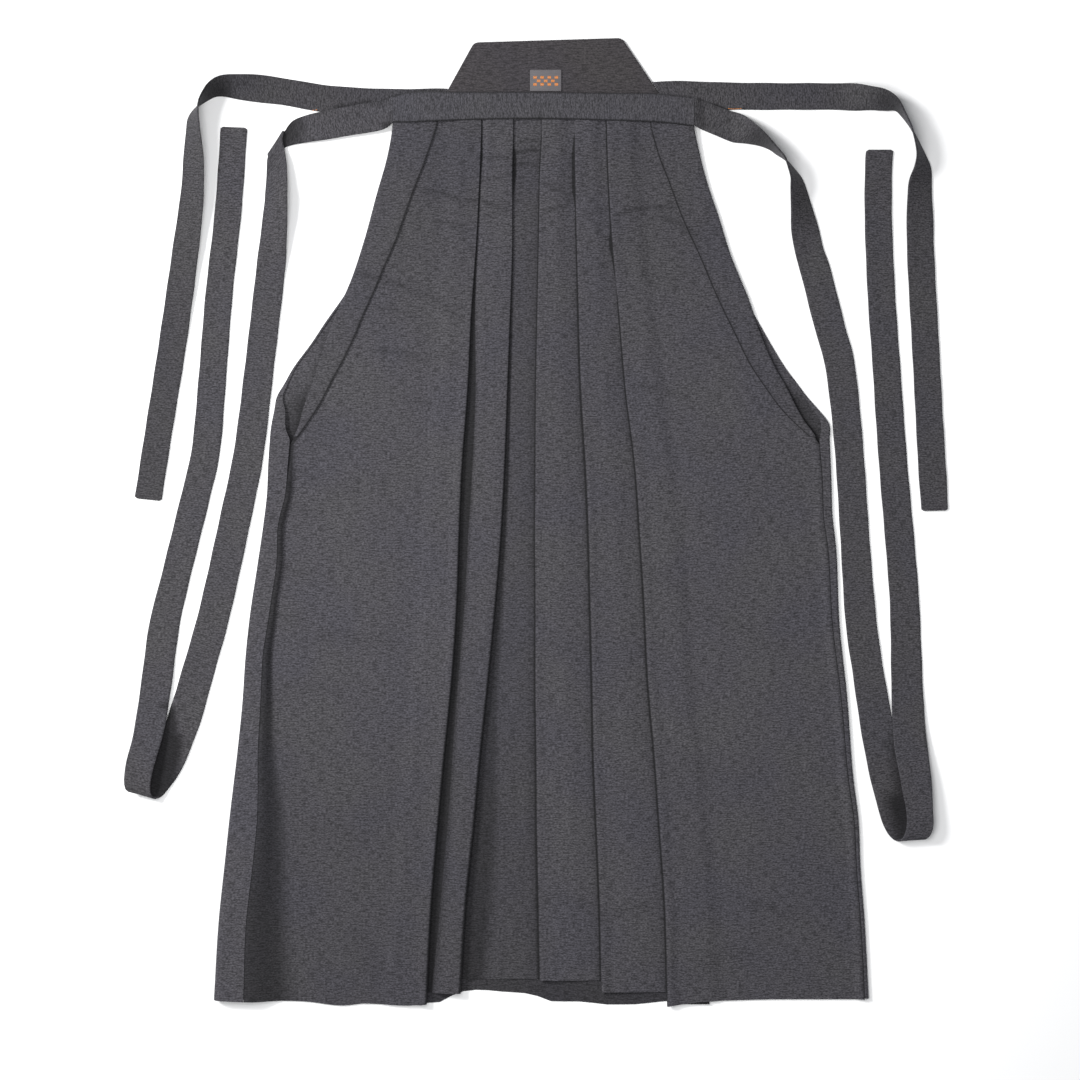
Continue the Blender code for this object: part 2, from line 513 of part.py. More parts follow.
def strap(name, table):
    """A strap of doubled cloth, which tilts on to its edge where it turns a corner."""
    rows = np.array(table, float)
    dense = []
    for i in range(len(rows) - 1):
        twist = abs(rows[i + 1, 4] - rows[i, 4])
        steps = max(STRAP_STEPS, math.ceil(twist / TWIST_STEP))
        dense += [blend(rows, i, k / steps) for k in range(steps)]
    dense = np.array(dense + [rows[-1]])
    centres = []
    acrosses = []
    for x, y, across, width, tilt, lift in dense:
        tilt = math.radians(min(max(tilt, -180.0), 0.0))
        across = math.radians(across)
        height = max(lift, 0.0) + width / 2 * abs(math.sin(tilt)) + STRAP / 2 * abs(math.cos(tilt))
        centres.append((x, y, height))
        acrosses.append((math.cos(tilt) * math.cos(across), math.cos(tilt) * math.sin(across),
                         math.sin(tilt)))
    centres = np.array(centres)
    along = np.gradient(centres, axis=0)
    loops = []
    for centre, across, way, row in zip(centres, np.array(acrosses), along, dense):
        normal = np.cross(way, across)
        normal /= np.linalg.norm(normal)
        side = across * row[3] / 2
        up = normal * STRAP / 2
        loops.append([centre - side + up, centre + side + up,
                      centre + side - up, centre - side - up])
    return loft(name, loops, STRAP_COLOUR)


def main():
    clear_scene()
    cloth("back_left", (BOARD_FOOT - GAP,) + ROWS[1:],
          lambda y: back_line(-1, LEFT_SIDE, "left_turn", y))
    cloth("back_right", (BOARD_FOOT - GAP,) + ROWS[1:],
          lambda y: back_line(1, RIGHT_SIDE, "right_turn", y))
    back_board()
    label()
    strap("rear_strap_left", REAR_STRAP_LEFT)
    strap("rear_strap_right", REAR_STRAP_RIGHT)
    cloth("front_left", ROWS, front_left_line)
    cloth("front_right", ROWS, front_right_line)
    opening_rows = [row for row in ROWS if row > OPENING_FOOT]
    cloth("side_band_left", opening_rows, lambda y: side_band_line(-1, LEFT_OPENING, y))
    cloth("side_band_right", opening_rows, lambda y: side_band_line(1, RIGHT_OPENING, y))
    front_band()
    strap("front_strap_left", FRONT_STRAP_LEFT)
    strap("front_strap_right", FRONT_STRAP_RIGHT)


main()
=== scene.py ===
# %% [markdown]
# # A pair of hakama, laid out flat
#
# Hakama are wide pleated trousers that are tied on with four long straps. This lesson dresses
# one pair that lies on a table with its front upwards. The frame already says where every
# cloth lies and how the cloths are stacked. Here each cloth is made again as a thin shell with
# its pressed folds, soft creases and woven finish.
#
# First the frame is loaded, and each of its solids is set in world space.

import math

import bpy
import numpy as np
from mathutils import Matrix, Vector


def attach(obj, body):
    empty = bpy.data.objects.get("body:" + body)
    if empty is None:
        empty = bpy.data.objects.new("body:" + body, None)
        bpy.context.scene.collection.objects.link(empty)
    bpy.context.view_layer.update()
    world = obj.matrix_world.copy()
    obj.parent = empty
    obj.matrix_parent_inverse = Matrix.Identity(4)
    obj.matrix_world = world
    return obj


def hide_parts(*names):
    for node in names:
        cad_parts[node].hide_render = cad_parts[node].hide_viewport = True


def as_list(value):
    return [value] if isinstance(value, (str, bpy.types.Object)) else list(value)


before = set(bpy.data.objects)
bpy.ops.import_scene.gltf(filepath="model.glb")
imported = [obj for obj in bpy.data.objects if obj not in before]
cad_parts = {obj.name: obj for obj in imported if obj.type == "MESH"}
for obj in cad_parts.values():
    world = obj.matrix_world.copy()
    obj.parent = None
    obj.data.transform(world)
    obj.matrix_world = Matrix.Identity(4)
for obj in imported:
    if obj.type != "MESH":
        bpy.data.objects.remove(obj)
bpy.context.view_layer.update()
print("frame nodes:", sorted(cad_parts))

# %% [markdown]
# ## Sizes
#
# A garment is drafted in millimetres, so every size below is one, and only the finished meshes
# are in metres. The centre line of the garment is x = 0, the hems are near y = -490, and the
# table is z = 0. Cloths lie one pitch apart, which leaves a little air between them.

# %% Cloth thickness and layers
MM = 0.001
WALL = 0.9             # one cloth
PITCH = 1.3            # from the middle of one cloth to the middle of the next
GAP = 0.3              # room left between two pieces side by side
BACK_Z = 0.5           # middle of the back cloths, flat on the table
BAND_BACK_Z = 4.8      # back leaf of the front band, over the board
STACK_Z = 6.1          # lowest front cloth inside the band
BAND_FRONT_Z = 10.0    # front leaf of the band, over three cloths
BAND_END_Z = 8.7       # and over two cloths, at its ends
BAND_INSIDE = 432.0    # the front cloths end inside the band
BOARD_FOOT = 416.1     # lower edge of the stiff back board
OPENING_FOOT = 83.0    # the side openings end here and the side seams begin
HEM = -490.0
ROW_STEPS = ((290, 2.0), (60, 3.5), (-500, 6.0))   # above each y, from row to row of a cloth
print("cloth pitch", PITCH, "mm, hem at", HEM, "mm")

# %% [markdown]
# Tailors write a pattern as a table: at each height of the garment, how far out the side is
# and where each pleat's fold lies. A small class reads such a table smoothly between its rows.
# It is level at a peak, so a curve never swings past the sizes that were written down. Values
# that are left out at the end of a row are those of the row before.

# %% A table of sizes that is read smoothly
def filled(rows):
    """Rows of a table; values left out at the end of a row are those of the row before."""
    full = []
    for row in rows:
        full.append([*row, *(full[-1][len(row):] if full else ())])
    return np.array(full, float)


class Table:
    """Rows of sizes with named columns, read smoothly at any place between the rows."""

    def __init__(self, names, *rows):
        self.names = names.split()
        self.rows = np.array(sorted(filled(rows).tolist()))

    def at(self, name, place):
        knots = self.rows[:, 0]
        values = self.rows[:, self.names.index(name)]
        place = min(max(place, knots[0]), knots[-1])
        i = min(int(np.searchsorted(knots, place, side="right")) - 1, len(knots) - 2)
        slopes = np.gradient(values, knots)
        steps = np.diff(values) / np.diff(knots)
        slopes[1:-1][steps[:-1] * steps[1:] <= 0] = 0.0
        span = knots[i + 1] - knots[i]
        s = (place - knots[i]) / span
        return float((1 + 2 * s) * (1 - s) ** 2 * values[i] + s * s * (3 - 2 * s) * values[i + 1]
                     + span * (s * (1 - s) ** 2 * slopes[i] - s * s * (1 - s) * slopes[i + 1]))


# Each side, outwards from the centre line: the back cloth's outer line, and its lap
LEFT_SIDE = Table(
    "y back lap", (432, 103, 2.2), (411, 112), (378, 127), (339, 145), (291, 168), (250, 188),
    (229, 202), (208, 217), (184, 233), (158, 252, 2.4), (142, 261, 4), (130, 268, 6),
    (115, 271, 11.5), (95, 274.5, 16), (83, 275.5, 21), (60, 277, 20.5), (27, 278.5, 19),
    (-2, 282, 15.5), (-50, 289, 20), (-93, 295.5), (-140, 300.5, 18), (-185, 303.5, 19),
    (-230, 308, 21), (-307, 317, 29), (-350, 321.5, 29.5), (-408, 327.5, 29), (HEM, 332.5, 31))
RIGHT_SIDE = Table(
    "y back lap", (432, 134, 2.2), (411, 140), (378, 149), (339, 161), (291, 183), (250, 204),
    (229, 216), (208, 227.5), (184, 241), (158, 257), (142, 269, 2.4), (130, 278, 3.4),
    (115, 291, 5.5), (103, 300.5, 8), (83, 301.8, 10.5), (43, 303.5, 9), (2, 305),
    (-18, 307.5, 8.5), (-107, 312, 7), (-178, 319.5, 6), (-267, 326.5, 5), (-307, 331.5, 4.5),
    (-355, 333.5, 4), (-408, 337.5), (HEM, 342))

# The side openings: the front cloth's outer line and the width of its folded band
LEFT_OPENING = Table(
    "y front band", (432, 148, 49), (411, 148.5, 46), (378, 154, 41), (339, 165, 37),
    (291, 178, 33), (250, 191.5, 29), (208, 210, 29), (173, 222.5, 26), (142, 232, 19),
    (118, 240.5, 15), (95, 247, 6), (OPENING_FOOT, 253.5, 4))
RIGHT_OPENING = Table(
    "y front band", (432, 160.5, 46), (411, 161.2, 45), (382, 167, 43.5), (348, 176, 39.5),
    (314, 187.5, 38.5), (277, 199, 33), (229, 218.5, 32), (193, 231, 27), (160, 245.5, 25),
    (137, 258.5, 22.5), (116, 269, 17.5), (103, 276.5, 12.5), (92, 285, 9),
    (OPENING_FOOT, 290.5, 4))

# The pleats' fold edges, from left to right; p1 and p2 face right, the others left
PLEATS = Table(
    "y p1 p2 p3 p4 p5", (432, -57, -24, 5, 38.5, 71), (411, -57, -24, 5, 38.5, 71.5),
    (352, -59, -25, 2.5, 39, 73.5), (291, -62, -25, 1.5, 40.5, 77), (218, -67, -27, 0, 42.5, 84),
    (136, -71, -30, -1.5, 45, 91), (54, -77, -33, -2, 50, 101), (-18, -80, -37, -2.5, 53, 106),
    (-80, -82, -42, -2, 54.5, 110), (-163, -87.5, -50, -2, 56.5, 114),
    (-245, -95.5, -58.5, -1, 58, 121), (-317, -102, -65, -0.5, 61, 126),
    (-389, -108, -72.5, 1, 64, 131), (HEM, -113.5, -78.5, 2.5, 66, 134))

# How far each fold edge springs up, and the open recess beside p1
SPRING = Table(
    "y p1 p2 p3 p4 p5 recess", (411, 0, 0, 0, 0, 0, 0.3), (390, 0.2, 0.4, 0.2, 0.5, 0.2, 0.5),
    (374, 0.8, 1.8, 0.2, 1.2, 0.2, 1.2), (358, 0.4, 2.0, 0.3, 1.9, 0.3, 0.8),
    (340, 0.4, 1.4, 0.3, 1.7, 0.3, 0.4), (325, 0.5, 0.5, 0.4, 0.6, 0.6, 0.4),
    (286, 0.7, 0.6, 0.6, 0.9, 1.4, 0.6), (262, 0.9, 0.8, 0.7, 1.0, 0.8, 1.0),
    (218, 1.2, 1.0, 0.8, 1.2, 0.8, 3), (120, 1.8, 1.6, 0.9, 1.6, 1.0, 8),
    (54, 2.2, 2.4, 1.0, 1.8, 1.2, 10), (-18, 2.6, 3.2, 1.1, 2.0, 1.4, 8.5),
    (-163, 3.2, 4.2, 1.2, 2.0, 1.8, 6), (-317, 4.2, 5.6, 1.5, 2.2, 2.2, 9),
    (-408, 4.8, 6.4, 1.8, 2.2, 2.4, 8), (HEM, 5, 7, 2.0, 2.2, 2.6, 4.5))

# Height of the lowest front cloth, the radius of each side's turn, and how far the front
# cloth takes to come down from the left seam
HEIGHTS = Table(
    "y base left_turn right_turn left_fall", (432, STACK_Z, 0.65, 0.65, 9), (408, STACK_Z),
    (396, 5.4), (378, 4.3), (352, 3.3), (330, 3.1), (200, 3.1), (130, 3.1, 1.2),
    (95, 3.1, 3.0, 1.2, 8), (60, 2.6, 3.2, 1.4, 7), (27, 2.0, 3.0, 1.5), (-2, 1.8, 2.8, 1.6),
    (-140, 1.8, 3.2, 1.8, 9), (-240, 1.8, 3.8, 2.0, 14), (-330, 1.8, 4.8, 2.1, 22),
    (-408, 1.8, 6.0, 2.1, 32), (HEM, 1.8, 7.0, 2.1, 40))

# The shade in the folds, from 0 to 1, and how far it reaches in mm: in the trough beside the
# left seam, beside the foot of the recess at p1, and in the trough to the right of p2
SHADE = Table(
    "y seam seam_reach recess recess_reach p2 p2_reach", (432, 0.9, 1.5, 0.45, 0.25, 0.5, 0.5),
    (388, 0.9, 1.5, 0.45, 0.3, 0.6, 1.0), (374, 0.9, 1.5, 0.75, 0.6, 0.97, 4.5),
    (360, 0.9, 1.5, 0.75, 0.6, 0.97, 4.5), (345, 0.9, 1.5, 0.55, 0.4, 0.9, 2.6),
    (328, 0.9, 1.5, 0.5, 0.3, 0.5, 1.2), (300, 0.9, 1.5, 0.55, 0.4, 0.5, 1.0),
    (218, 0.9, 2.0, 0.8, 0.8, 0.7, 2.2), (110, 0.9, 4.0, 0.9, 1.4, 0.75, 4.0),
    (54, 0.9, 6.0, 0.9, 1.7, 0.75, 5.0), (20, 0.85, 6.5, 0.9, 2.0, 0.75, 5.5),
    (-39, 0.8, 7.0, 0.9, 2.0, 0.7, 7.0), (-100, 0.8, 8.0, 0.9, 2.0, 0.68, 10),
    (-163, 0.75, 13, 0.9, 2.2, 0.66, 13), (-240, 0.68, 22, 0.9, 2.4, 0.66, 20),
    (-317, 0.68, 36, 0.9, 2.6, 0.68, 29), (-408, 0.7, 50, 0.9, 2.8, 0.74, 32),
    (HEM, 0.72, 60, 0.9, 3.0, 0.78, 31))
# Half the width of the painted dark line of shade under each fold that faces left, and the soft
# painted shade beside it
FOLD_LINE = Table(
    "y p3 p4 p5 soft", (432, 0.1, 0.02, 0.6, 0.1), (402, 0.25, 0.05, 0.7, 0.15),
    (388, 0.6, 1.4, 0.8, 0.2), (374, 0.7, 3.0, 0.8, 0.25), (345, 0.7, 3.0, 0.8, 0.25),
    (330, 0.7, 0.9, 0.8, 0.25), (302, 0.7, 0.7, 1.0, 0.35), (286, 0.7, 0.8, 3.0, 0.45),
    (268, 0.7, 0.9, 1.1, 0.4), (200, 0.8, 1.4, 0.9, 0.45), (54, 0.9, 1.7, 1.1, 0.55),
    (-163, 1.0, 1.5, 1.2, 0.5), (-330, 1.2, 1.2, 1.1, 0.5), (HEM, 1.3, 1.2, 1.1, 0.5))
# Painted shade over all of a panel or strip, where it gets less light than its neighbours
PAINTED_DIM = Table(
    "y left right strip_1 strip_2", (432, 0.18, 0.1, 0.05, 0.08), (396, 0.18, 0.1, 0.05, 0.1),
    (384, 0.18, 0.1, 0.05, 0.15), (300, 0.16, 0.1, 0.05, 0.2), (218, 0.08, 0.03, 0.05, 0.22),
    (120, 0.02, 0.0), (-80, 0.02, 0.0, 0.08, 0.18), (-163, 0.05, 0.0, 0.14, 0.2),
    (-317, 0.15, 0.03, 0.2, 0.26), (HEM, 0.16))

# Hems, from left to right
LEFT_FRONT_HEM = Table(
    "x hem", (-332, -491), (-300, -493), (-237, -494.5), (-200, -498.5), (-178, -496.5),
    (-136, -498), (-113, -496.5))
RIGHT_FRONT_HEM = Table(
    "x hem", (95, -500), (134, -498.9), (158, -495.5), (209, -493), (260, -492), (342, -492))
BACK_HEM = Table(
    "x hem", (-342, -491), (-300, -493), (-237, -493.5), (-113, -496), (-100, -495), (-85, -487),
    (-23, -485), (1, -489), (17, -494.5), (48, -494.5), (64, -497), (96, -497.5), (134, -494),
    (209, -491), (342, -491))
STRIP_1_HEM = -485.0
STRIP_2_HEM = -471.0
STRIP_3_HEM = -472.5
STRIP_4_HEM = -484.5
INNER_HEM = 2.0          # a hidden return ends this much higher than the strip it carries
SEAM_PAST_CENTRE = 8.0   # the hidden centre seam, to the right of the centre fold
SLOPE_WAY = 16.0         # a cloth comes down from a pleat over this length
KNEE = 12.0              # a lifted fold is level again this far from its edge
HEM_ZONE = 75.0          # the rows of a cloth bend towards its uneven hem over this height
PLEAT_DEPTH = 20.0       # from an outer pleat's fold edge to its inner fold, at the waist
PLEATS_FROM = 411.0      # the outer pleats get deeper from here down to the hem
print("pleat folds at the hem:", [round(PLEATS.at(p, HEM)) for p in ("p1", "p2", "p3", "p4", "p5")])

# %% [markdown]
# ## Creases
#
# Pressed cloth that has been folded away and opened again keeps faint creases. Each one here is
# a low ridge, steeper on one flank than on the other, that fades out at both ends. A few long
# soft swells make the wide panels lie unevenly. Both are added to every front cloth at once, so
# the layers of a pleat rise together and never pass through each other.

# %% Ridges, listed one by one
CREASES = (
    # x0, y0, x1, y1, height, width of the left or upper flank, width of the other flank
    (-22, 387, 3, 391, 1.1, 2.0, 6), (-24, 377, 3, 380, 1.0, 2.0, 5),
    (-27, 364, 0, 366, 0.7, 2.2, 6), (-55, 371, -30, 371, 0.6, 2.6, 7),
    (-59, 354, -34, 357, 0.5, 7, 2.6), (-120, 345, -76, 334, 0.8, 9, 2.8),
    (-76, 334, -34, 326, 0.8, 9, 2.8), (-104, 313, -70, 303, 0.5, 8, 2.8),
    (-60, 316, -30, 322, 0.5, 7, 2.6), (-188, 259, -130, 243, 0.9, 12, 3.2),
    (-130, 243, -76, 214, 0.7, 12, 3.6), (-168, 226, -120, 214, 0.6, 12, 4.0),
    (-168, 180, -118, 171, 0.7, 10, 3.0), (-108, 176, -76, 166, 0.5, 10, 3.4),
    (-140, 132, -92, 120, 0.5, 12, 4.0), (6, 352, 36, 336, 0.7, 7, 2.4),
    (6, 322, 38, 330, 0.5, 7, 2.6), (44, 318, 76, 324, 0.35, 8, 2.6),
    (44, 262, 84, 268, 0.4, 9, 3.2), (84, 320, 140, 328, 0.9, 12, 3.0),
    (126, 320, 170, 296, 1.1, 12, 3.6), (96, 262, 150, 250, 0.5, 14, 4.5),
    (100, 146, 160, 132, 0.8, 14, 5.0), (150, 190, 196, 172, 0.5, 14, 5.0),
    (160, 84, 226, 66, 0.6, 18, 6.0), (110, -40, 176, -84, 0.9, 22, 8),
    (176, -84, 256, -132, 0.9, 22, 8), (216, -386, 264, -402, 1.0, 14, 5.0),
    (-236, -112, -150, -118, 0.8, 22, 7), (-262, -160, -196, -170, 0.7, 18, 7),
    (-236, -300, -170, -322, 0.8, 24, 10), (-215, 40, -150, 52, 0.8, 26, 10),
    (140, -236, 220, -262, 0.7, 26, 10), (150, 20, 230, 4, 0.8, 26, 10),
    (-190, -410, -150, -470, 0.8, 20, 9), (-250, 60, -214, 40, 0.6, 12, 5),
    (-256, 20, -222, 12, 0.6, 12, 5), (-262, -40, -228, -54, 0.6, 12, 5),
    (-268, -90, -236, -98, 0.6, 12, 5), (236, 60, 272, 40, 0.5, 12, 5),
    (60, -200, 100, -208, 0.5, 16, 7), (4, -120, 46, -128, 0.5, 16, 7),
    (66, -400, 118, -392, 0.7, 14, 6), (6, -380, 56, -392, 0.6, 14, 6),
    (-66, -120, -12, -130, 0.5, 16, 7), (160, -450, 220, -438, 0.7, 18, 7))
SWELLS = (
    # x, y, height, reach along x, reach along y
    (-165, 10, 1.4, 60, 120), (-150, -250, 1.1, 70, 120), (-120, 200, 0.8, 40, 80),
    (175, -20, 1.2, 60, 110), (200, -330, 1.1, 70, 110), (130, 220, 0.7, 40, 80),
    (-190, -420, 1.0, 50, 60), (-246, 98, 3.4, 20, 24), (288, 96, 1.6, 14, 18))
# The back cloths lie under the fronts, which leaves room for low creases only
BACK_CREASES = tuple(
    (x, y, x + 60 * math.cos(turned), y + 60 * math.sin(turned), 0.28, 12, 4)
    for x, y, turned in ((-200, 300, -0.3), (-120, 210, 0.2), (-240, 130, -0.1), (-180, 20, 0.3),
                         (-250, -110, -0.2), (-130, -190, 0.1), (-230, -300, 0.4),
                         (-110, -400, -0.1),
                         (60, 340, 0.1), (110, 240, -0.4), (190, 150, 0.2), (60, 60, -0.1),
                         (200, -10, -0.3), (90, -140, 0.3), (210, -240, 0.0), (70, -330, -0.2),
                         (190, -420, 0.2), (-60, 110, 0.2), (-70, -60, -0.3), (-80, 330, 0.1)))


CREASE_TOP = 408.0    # there are no creases above this height,
CREASE_FADE = 30.0    # and whole ones this far below it
BOW = 0.06            # how far a ridge bows out, as a share of its length
RIDGE_END = 0.35      # the share of its length over which each end of a ridge fades out


def ease(s):
    """From 0 to 1 as s goes from 0 to 1, level at both ends."""
    s = np.clip(s, 0.0, 1.0)
    return s * s * (3 - 2 * s)


def from_waist(y):
    """The share of every crease and swell at this height: none under the front band."""
    return ease((CREASE_TOP - y) / CREASE_FADE)


def beside_ridge(x, y, x0, y0, x1, y1):
    """How far places lie off a bowed ridge line, and how much of the ridge is left there."""
    length = math.hypot(x1 - x0, y1 - y0)
    ax, ay = (x1 - x0) / length, (y1 - y0) / length
    along = (x - x0) * ax + (y - y0) * ay
    bow = BOW * length * np.sin(np.pi * np.clip(along / length, 0, 1))
    off = (y - y0) * ax - (x - x0) * ay - bow
    fade = RIDGE_END * length
    ends = ease(0.5 + along / fade) * ease(0.5 + (length - along) / fade)
    return off, ends


def crease_height(x, y, ridges, swells):
    """How far the cloth at these places is raised by creases and swells."""
    rise = np.zeros_like(x)
    for x0, y0, x1, y1, height, near, far in ridges:
        off, ends = beside_ridge(x, y, x0, y0, x1, y1)
        rise += height * np.exp(-(off / np.where(off > 0, near, far)) ** 2) * ends
    for cx, cy, height, rx, ry in swells:
        rise += height * np.exp(-((x - cx) / rx) ** 2 - ((y - cy) / ry) ** 2)
    return rise * from_waist(y)


def crease_shade(x, y, ridges):
    """How deep in shade these places are, at the foot of each ridge's steeper flank."""
    deep = np.zeros_like(x)
    for x0, y0, x1, y1, height, near, far in ridges:
        off, ends = beside_ridge(x, y, x0, y0, x1, y1)
        flank = min(near, far)
        foot = 1.2 * flank if near < far else -1.2 * flank
        steep = min(0.65 * height * (2.5 / flank) ** 1.5, 0.85)
        deep = np.maximum(deep, steep * np.exp(-((off - foot) / (0.9 * flank)) ** 2) * ends)
    return deep * from_waist(y)


sample = crease_height(*np.meshgrid(np.linspace(-300, 300, 61), np.linspace(-480, 400, 89)),
                       CREASES, SWELLS)
print("highest crease or swell: %.2f mm" % sample.max())

# %% [markdown]
# ## How a cloth is made
#
# Each cloth has the same cross-section all the way down, with different sizes. So a function
# gives the line of points for one height, and the lines are joined row by row, which is called
# lofting. The line first gets a wall, by stepping out to both sides of it.
#
# Every mesh also gets a UV map in metres, with U along the weft thread and V along the warp.
# The woven pattern can then follow each cloth round its folds, and along each strap.

# %% Walls, turns and lofts
def unit(vectors):
    return vectors / np.linalg.norm(vectors, axis=-1, keepdims=True)


def left_of(ways):
    """Unit vectors a quarter turn to the left of these ways."""
    return unit(np.stack([-ways[:, 1], ways[:, 0]], axis=1))


def there_and_back(values):
    """The values for both sides of a wall: along one side, and back along the other."""
    return np.concatenate([values, values[::-1]])


def lengths_along(points):
    """How far along a line each of its points lies."""
    steps = np.linalg.norm(np.diff(np.array(points, float), axis=0), axis=1)
    return np.concatenate([[0.0], np.cumsum(steps)])


def thicken(line, wall=WALL):
    """Closed outline of a wall round a line of (a, b) points."""
    line = np.array(line, float)
    normals = left_of(np.diff(line, axis=0))
    corner = unit(np.vstack([normals[:1], normals[:-1] + normals[1:], normals[-1:]]))
    return np.vstack([line + corner * wall / 2, (line - corner * wall / 2)[::-1]])


def turn(edge, high, low, facing, steps=8):
    """Round a fold from the upper cloth to the lower one; edge is its outermost line."""
    radius = (high - low) / 2
    centre = edge - facing * (WALL / 2 + radius)
    angles = [math.pi / 2 - math.pi * k / steps for k in range(steps + 1)]
    return [(centre + facing * radius * math.cos(a), (high + low) / 2 + radius * math.sin(a))
            for a in angles]


def run(x0, z0, x1, z1, count):
    """Points after (x0, z0) on the way to (x1, z1), where the height eases in and out."""
    return [(x0 + (x1 - x0) * k / count, z0 + (z1 - z0) * float(ease(k / count)))
            for k in range(1, count + 1)]


def path(x, z, *legs):
    """Points from a place through others; each leg is (x, z, count), as in run."""
    points = [(x, z)]
    for leg_x, leg_z, count in legs:
        points += run(*points[-1], leg_x, leg_z, count)
    return points


def add_object(name, data):
    made = bpy.data.objects.new(name, data)
    bpy.context.scene.collection.objects.link(made)
    return made


def add_mesh(name, points, faces, uv, smooth_angle=50):
    """Make a mesh object from points and UV in millimetres, with its faces pointing out."""
    points = np.array(points, float) * MM
    volume = 0.0
    for face in faces:
        a, b = points[face[0]], points[face[1]]
        for k in face[2:]:
            volume += float(a @ np.cross(b, points[k]))
            b = points[k]
    if volume < 0:
        faces = [tuple(reversed(face)) for face in faces]
    mesh = bpy.data.meshes.new(name)
    mesh.from_pydata(points.tolist(), [], faces)
    layer = mesh.uv_layers.new(name="UVMap")
    corner = np.zeros(len(mesh.loops), np.int32)
    mesh.loops.foreach_get("vertex_index", corner)
    layer.data.foreach_set("uv", (np.array(uv, float)[corner] * MM).ravel())
    mesh.shade_smooth()
    mesh.set_sharp_from_angle(angle=math.radians(smooth_angle))
    return add_object(name, mesh)


def loft(name, loops, uvs):
    """Join closed sections, each one side's points and then the other side's reversed."""
    size = len(loops[0])
    last = (len(loops) - 1) * size
    faces = [(start + j, start + (j + 1) % size, start + size + (j + 1) % size, start + size + j)
             for start in range(0, last, size) for j in range(size)]
    for j in range(size // 2 - 1):
        faces.append((j + 1, j, size - 1 - j, size - 2 - j))
        faces.append((last + j, last + j + 1, last + size - 2 - j, last + size - 1 - j))
    return add_mesh(name, np.vstack(loops), faces, np.vstack(uvs))


def store_painted_shade(made, values):
    """Store the shade painted on each point, from 0 to 1, which the cloth's material darkens its
    colour by.
    """
    painted_shade = made.data.attributes.new("painted_shade", "FLOAT", "POINT")
    painted_shade.data.foreach_set("value", np.asarray(values, np.float32))


def row_places(top, bottom):
    """Where the rows of a cloth are: close together at the waist, where its creases are small."""
    rows = [top]
    while rows[-1] > bottom:
        rows.append(rows[-1] - next(step for above, step in ROW_STEPS if rows[-1] > above))
    return rows[:-2] + [bottom]


def cloth(name, top, bottom, line_at, ridges=(), swells=()):
    """Loft a cloth from a function that gives each row's (x, z, hem, painted shade) points.

    The rows end at the uneven hem, or level at the bottom if one is given.
    """
    loops, uvs, painted_shades = [], [], []
    for y in row_places(top, HEM if bottom is None else bottom):
        line = np.array(line_at(float(y)), float)
        share = float(ease((HEM + HEM_ZONE - y) / HEM_ZONE)) if bottom is None else 0.0
        outline = thicken(line[:, :2])
        xs, _, hems, fold_painted_shade = there_and_back(line).T
        ys = y + share * (hems - HEM)
        outline[:, 1] += crease_height(xs, ys, ridges, swells)
        loops.append(np.stack([outline[:, 0], ys, outline[:, 1]], axis=1))
        along = lengths_along(line[:, :2])
        along += line[0, 0] if line[0, 0] < line[-1, 0] else -line[0, 0]
        uvs.append(np.stack([there_and_back(along), ys], axis=1))
        # Painted shade: darker deep in the folds and at the foot of each crease's steeper flank
        painted_shades.append(1 - (1 - fold_painted_shade) * (1 - crease_shade(xs, ys, ridges)))
    made = loft(name, loops, uvs)
    store_painted_shade(made, np.concatenate(painted_shades))
    print(name, len(loops), "rows of", len(loops[0]), "points")
    return made


def base(y):
    return HEIGHTS.at("base", y)


def row(points, hem, painted_shade=0.0):
    """Give (x, z) points the hem that they end at and how much shade is painted on them."""
    return [(x, z, hem, painted_shade) for x, z in points]


def beside(points, hem, fold, depth, reach):
    """As row, with painted shade that gets darker as the points come nearer to a fold's edge."""
    return [(x, z, hem, depth * math.exp(-abs(x - fold) / reach)) for x, z in points]


def valley(points, hem, edge, depth, reach):
    """As row, for points in a wide trough: painted shade, even near its edge, then soon gone."""
    def share(x):
        return float(ease((1 - abs(x - edge) / max(reach, 0.1)) / 0.42))
    return [(x, z, hem, depth * share(x)) for x, z in points]


def under_fold(points, hem, fold, line, soft, reach):
    """As row, under a fold's edge: a painted dark line, with soft painted shade beside it."""
    def share(x):
        past = abs(x - fold) - line
        dark = float(ease(1 - past / 0.5)) * min(line / 0.4, 1.0)
        return max(dark, soft * math.exp(-max(past, 0.0) / reach))
    return [(x, z, hem, share(x)) for x, z in points]


# Shade of a turn's first points, on the side away from the key light, on the same side where
# the folds are pressed flat near the waist, and on the side towards the light
EDGE_FROM_LIGHT = (0.1, 0.4, 0.9)
EDGE_AT_WAIST = (0.0, 0.0, 0.2)
EDGE_TO_LIGHT = (0.0, 0.1, 0.6)


def round_edge(points, hem, shades, strength=1.0):
    """As row, for a turn from its upper cloth round to the underside, with painted shade."""
    return [(x, z, hem, strength * (shades[k] if k < len(shades) else 1.0))
            for k, (x, z) in enumerate(points)]


def edge_shades(y):
    """Shades for a fold that faces right, weaker towards the waist."""
    share = float(ease((y - 190) / 130))
    return [a + share * (b - a) for a, b in zip(EDGE_FROM_LIGHT, EDGE_AT_WAIST)]


def deeper(points, amount):
    """The same points, all somewhat deeper in shade."""
    return [(x, z, hem, 1 - (1 - painted_shade) * (1 - amount)) for x, z, hem, painted_shade in points]


def closer(x0, x1, z, count, power=1.6):
    """Points on a level line after x0, close together there and further apart towards x1."""
    return [(x0 + (x1 - x0) * (k / count) ** power, z) for k in range(1, count + 1)]

# %% [markdown]
# ## Back cloths
#
# The two back cloths lie on the table, one for each leg, and meet in the middle. At the outer
# line each one turns up and laps round to the front, where the side seam is sewn. On the left
# the lap is a soft raised roll that gets wider towards the hem.

# %% Back cloths
def lap_z(y, turn_name):
    """Height of the back cloth where it laps on to the front."""
    return BACK_Z + 2 * HEIGHTS.at(turn_name, y)


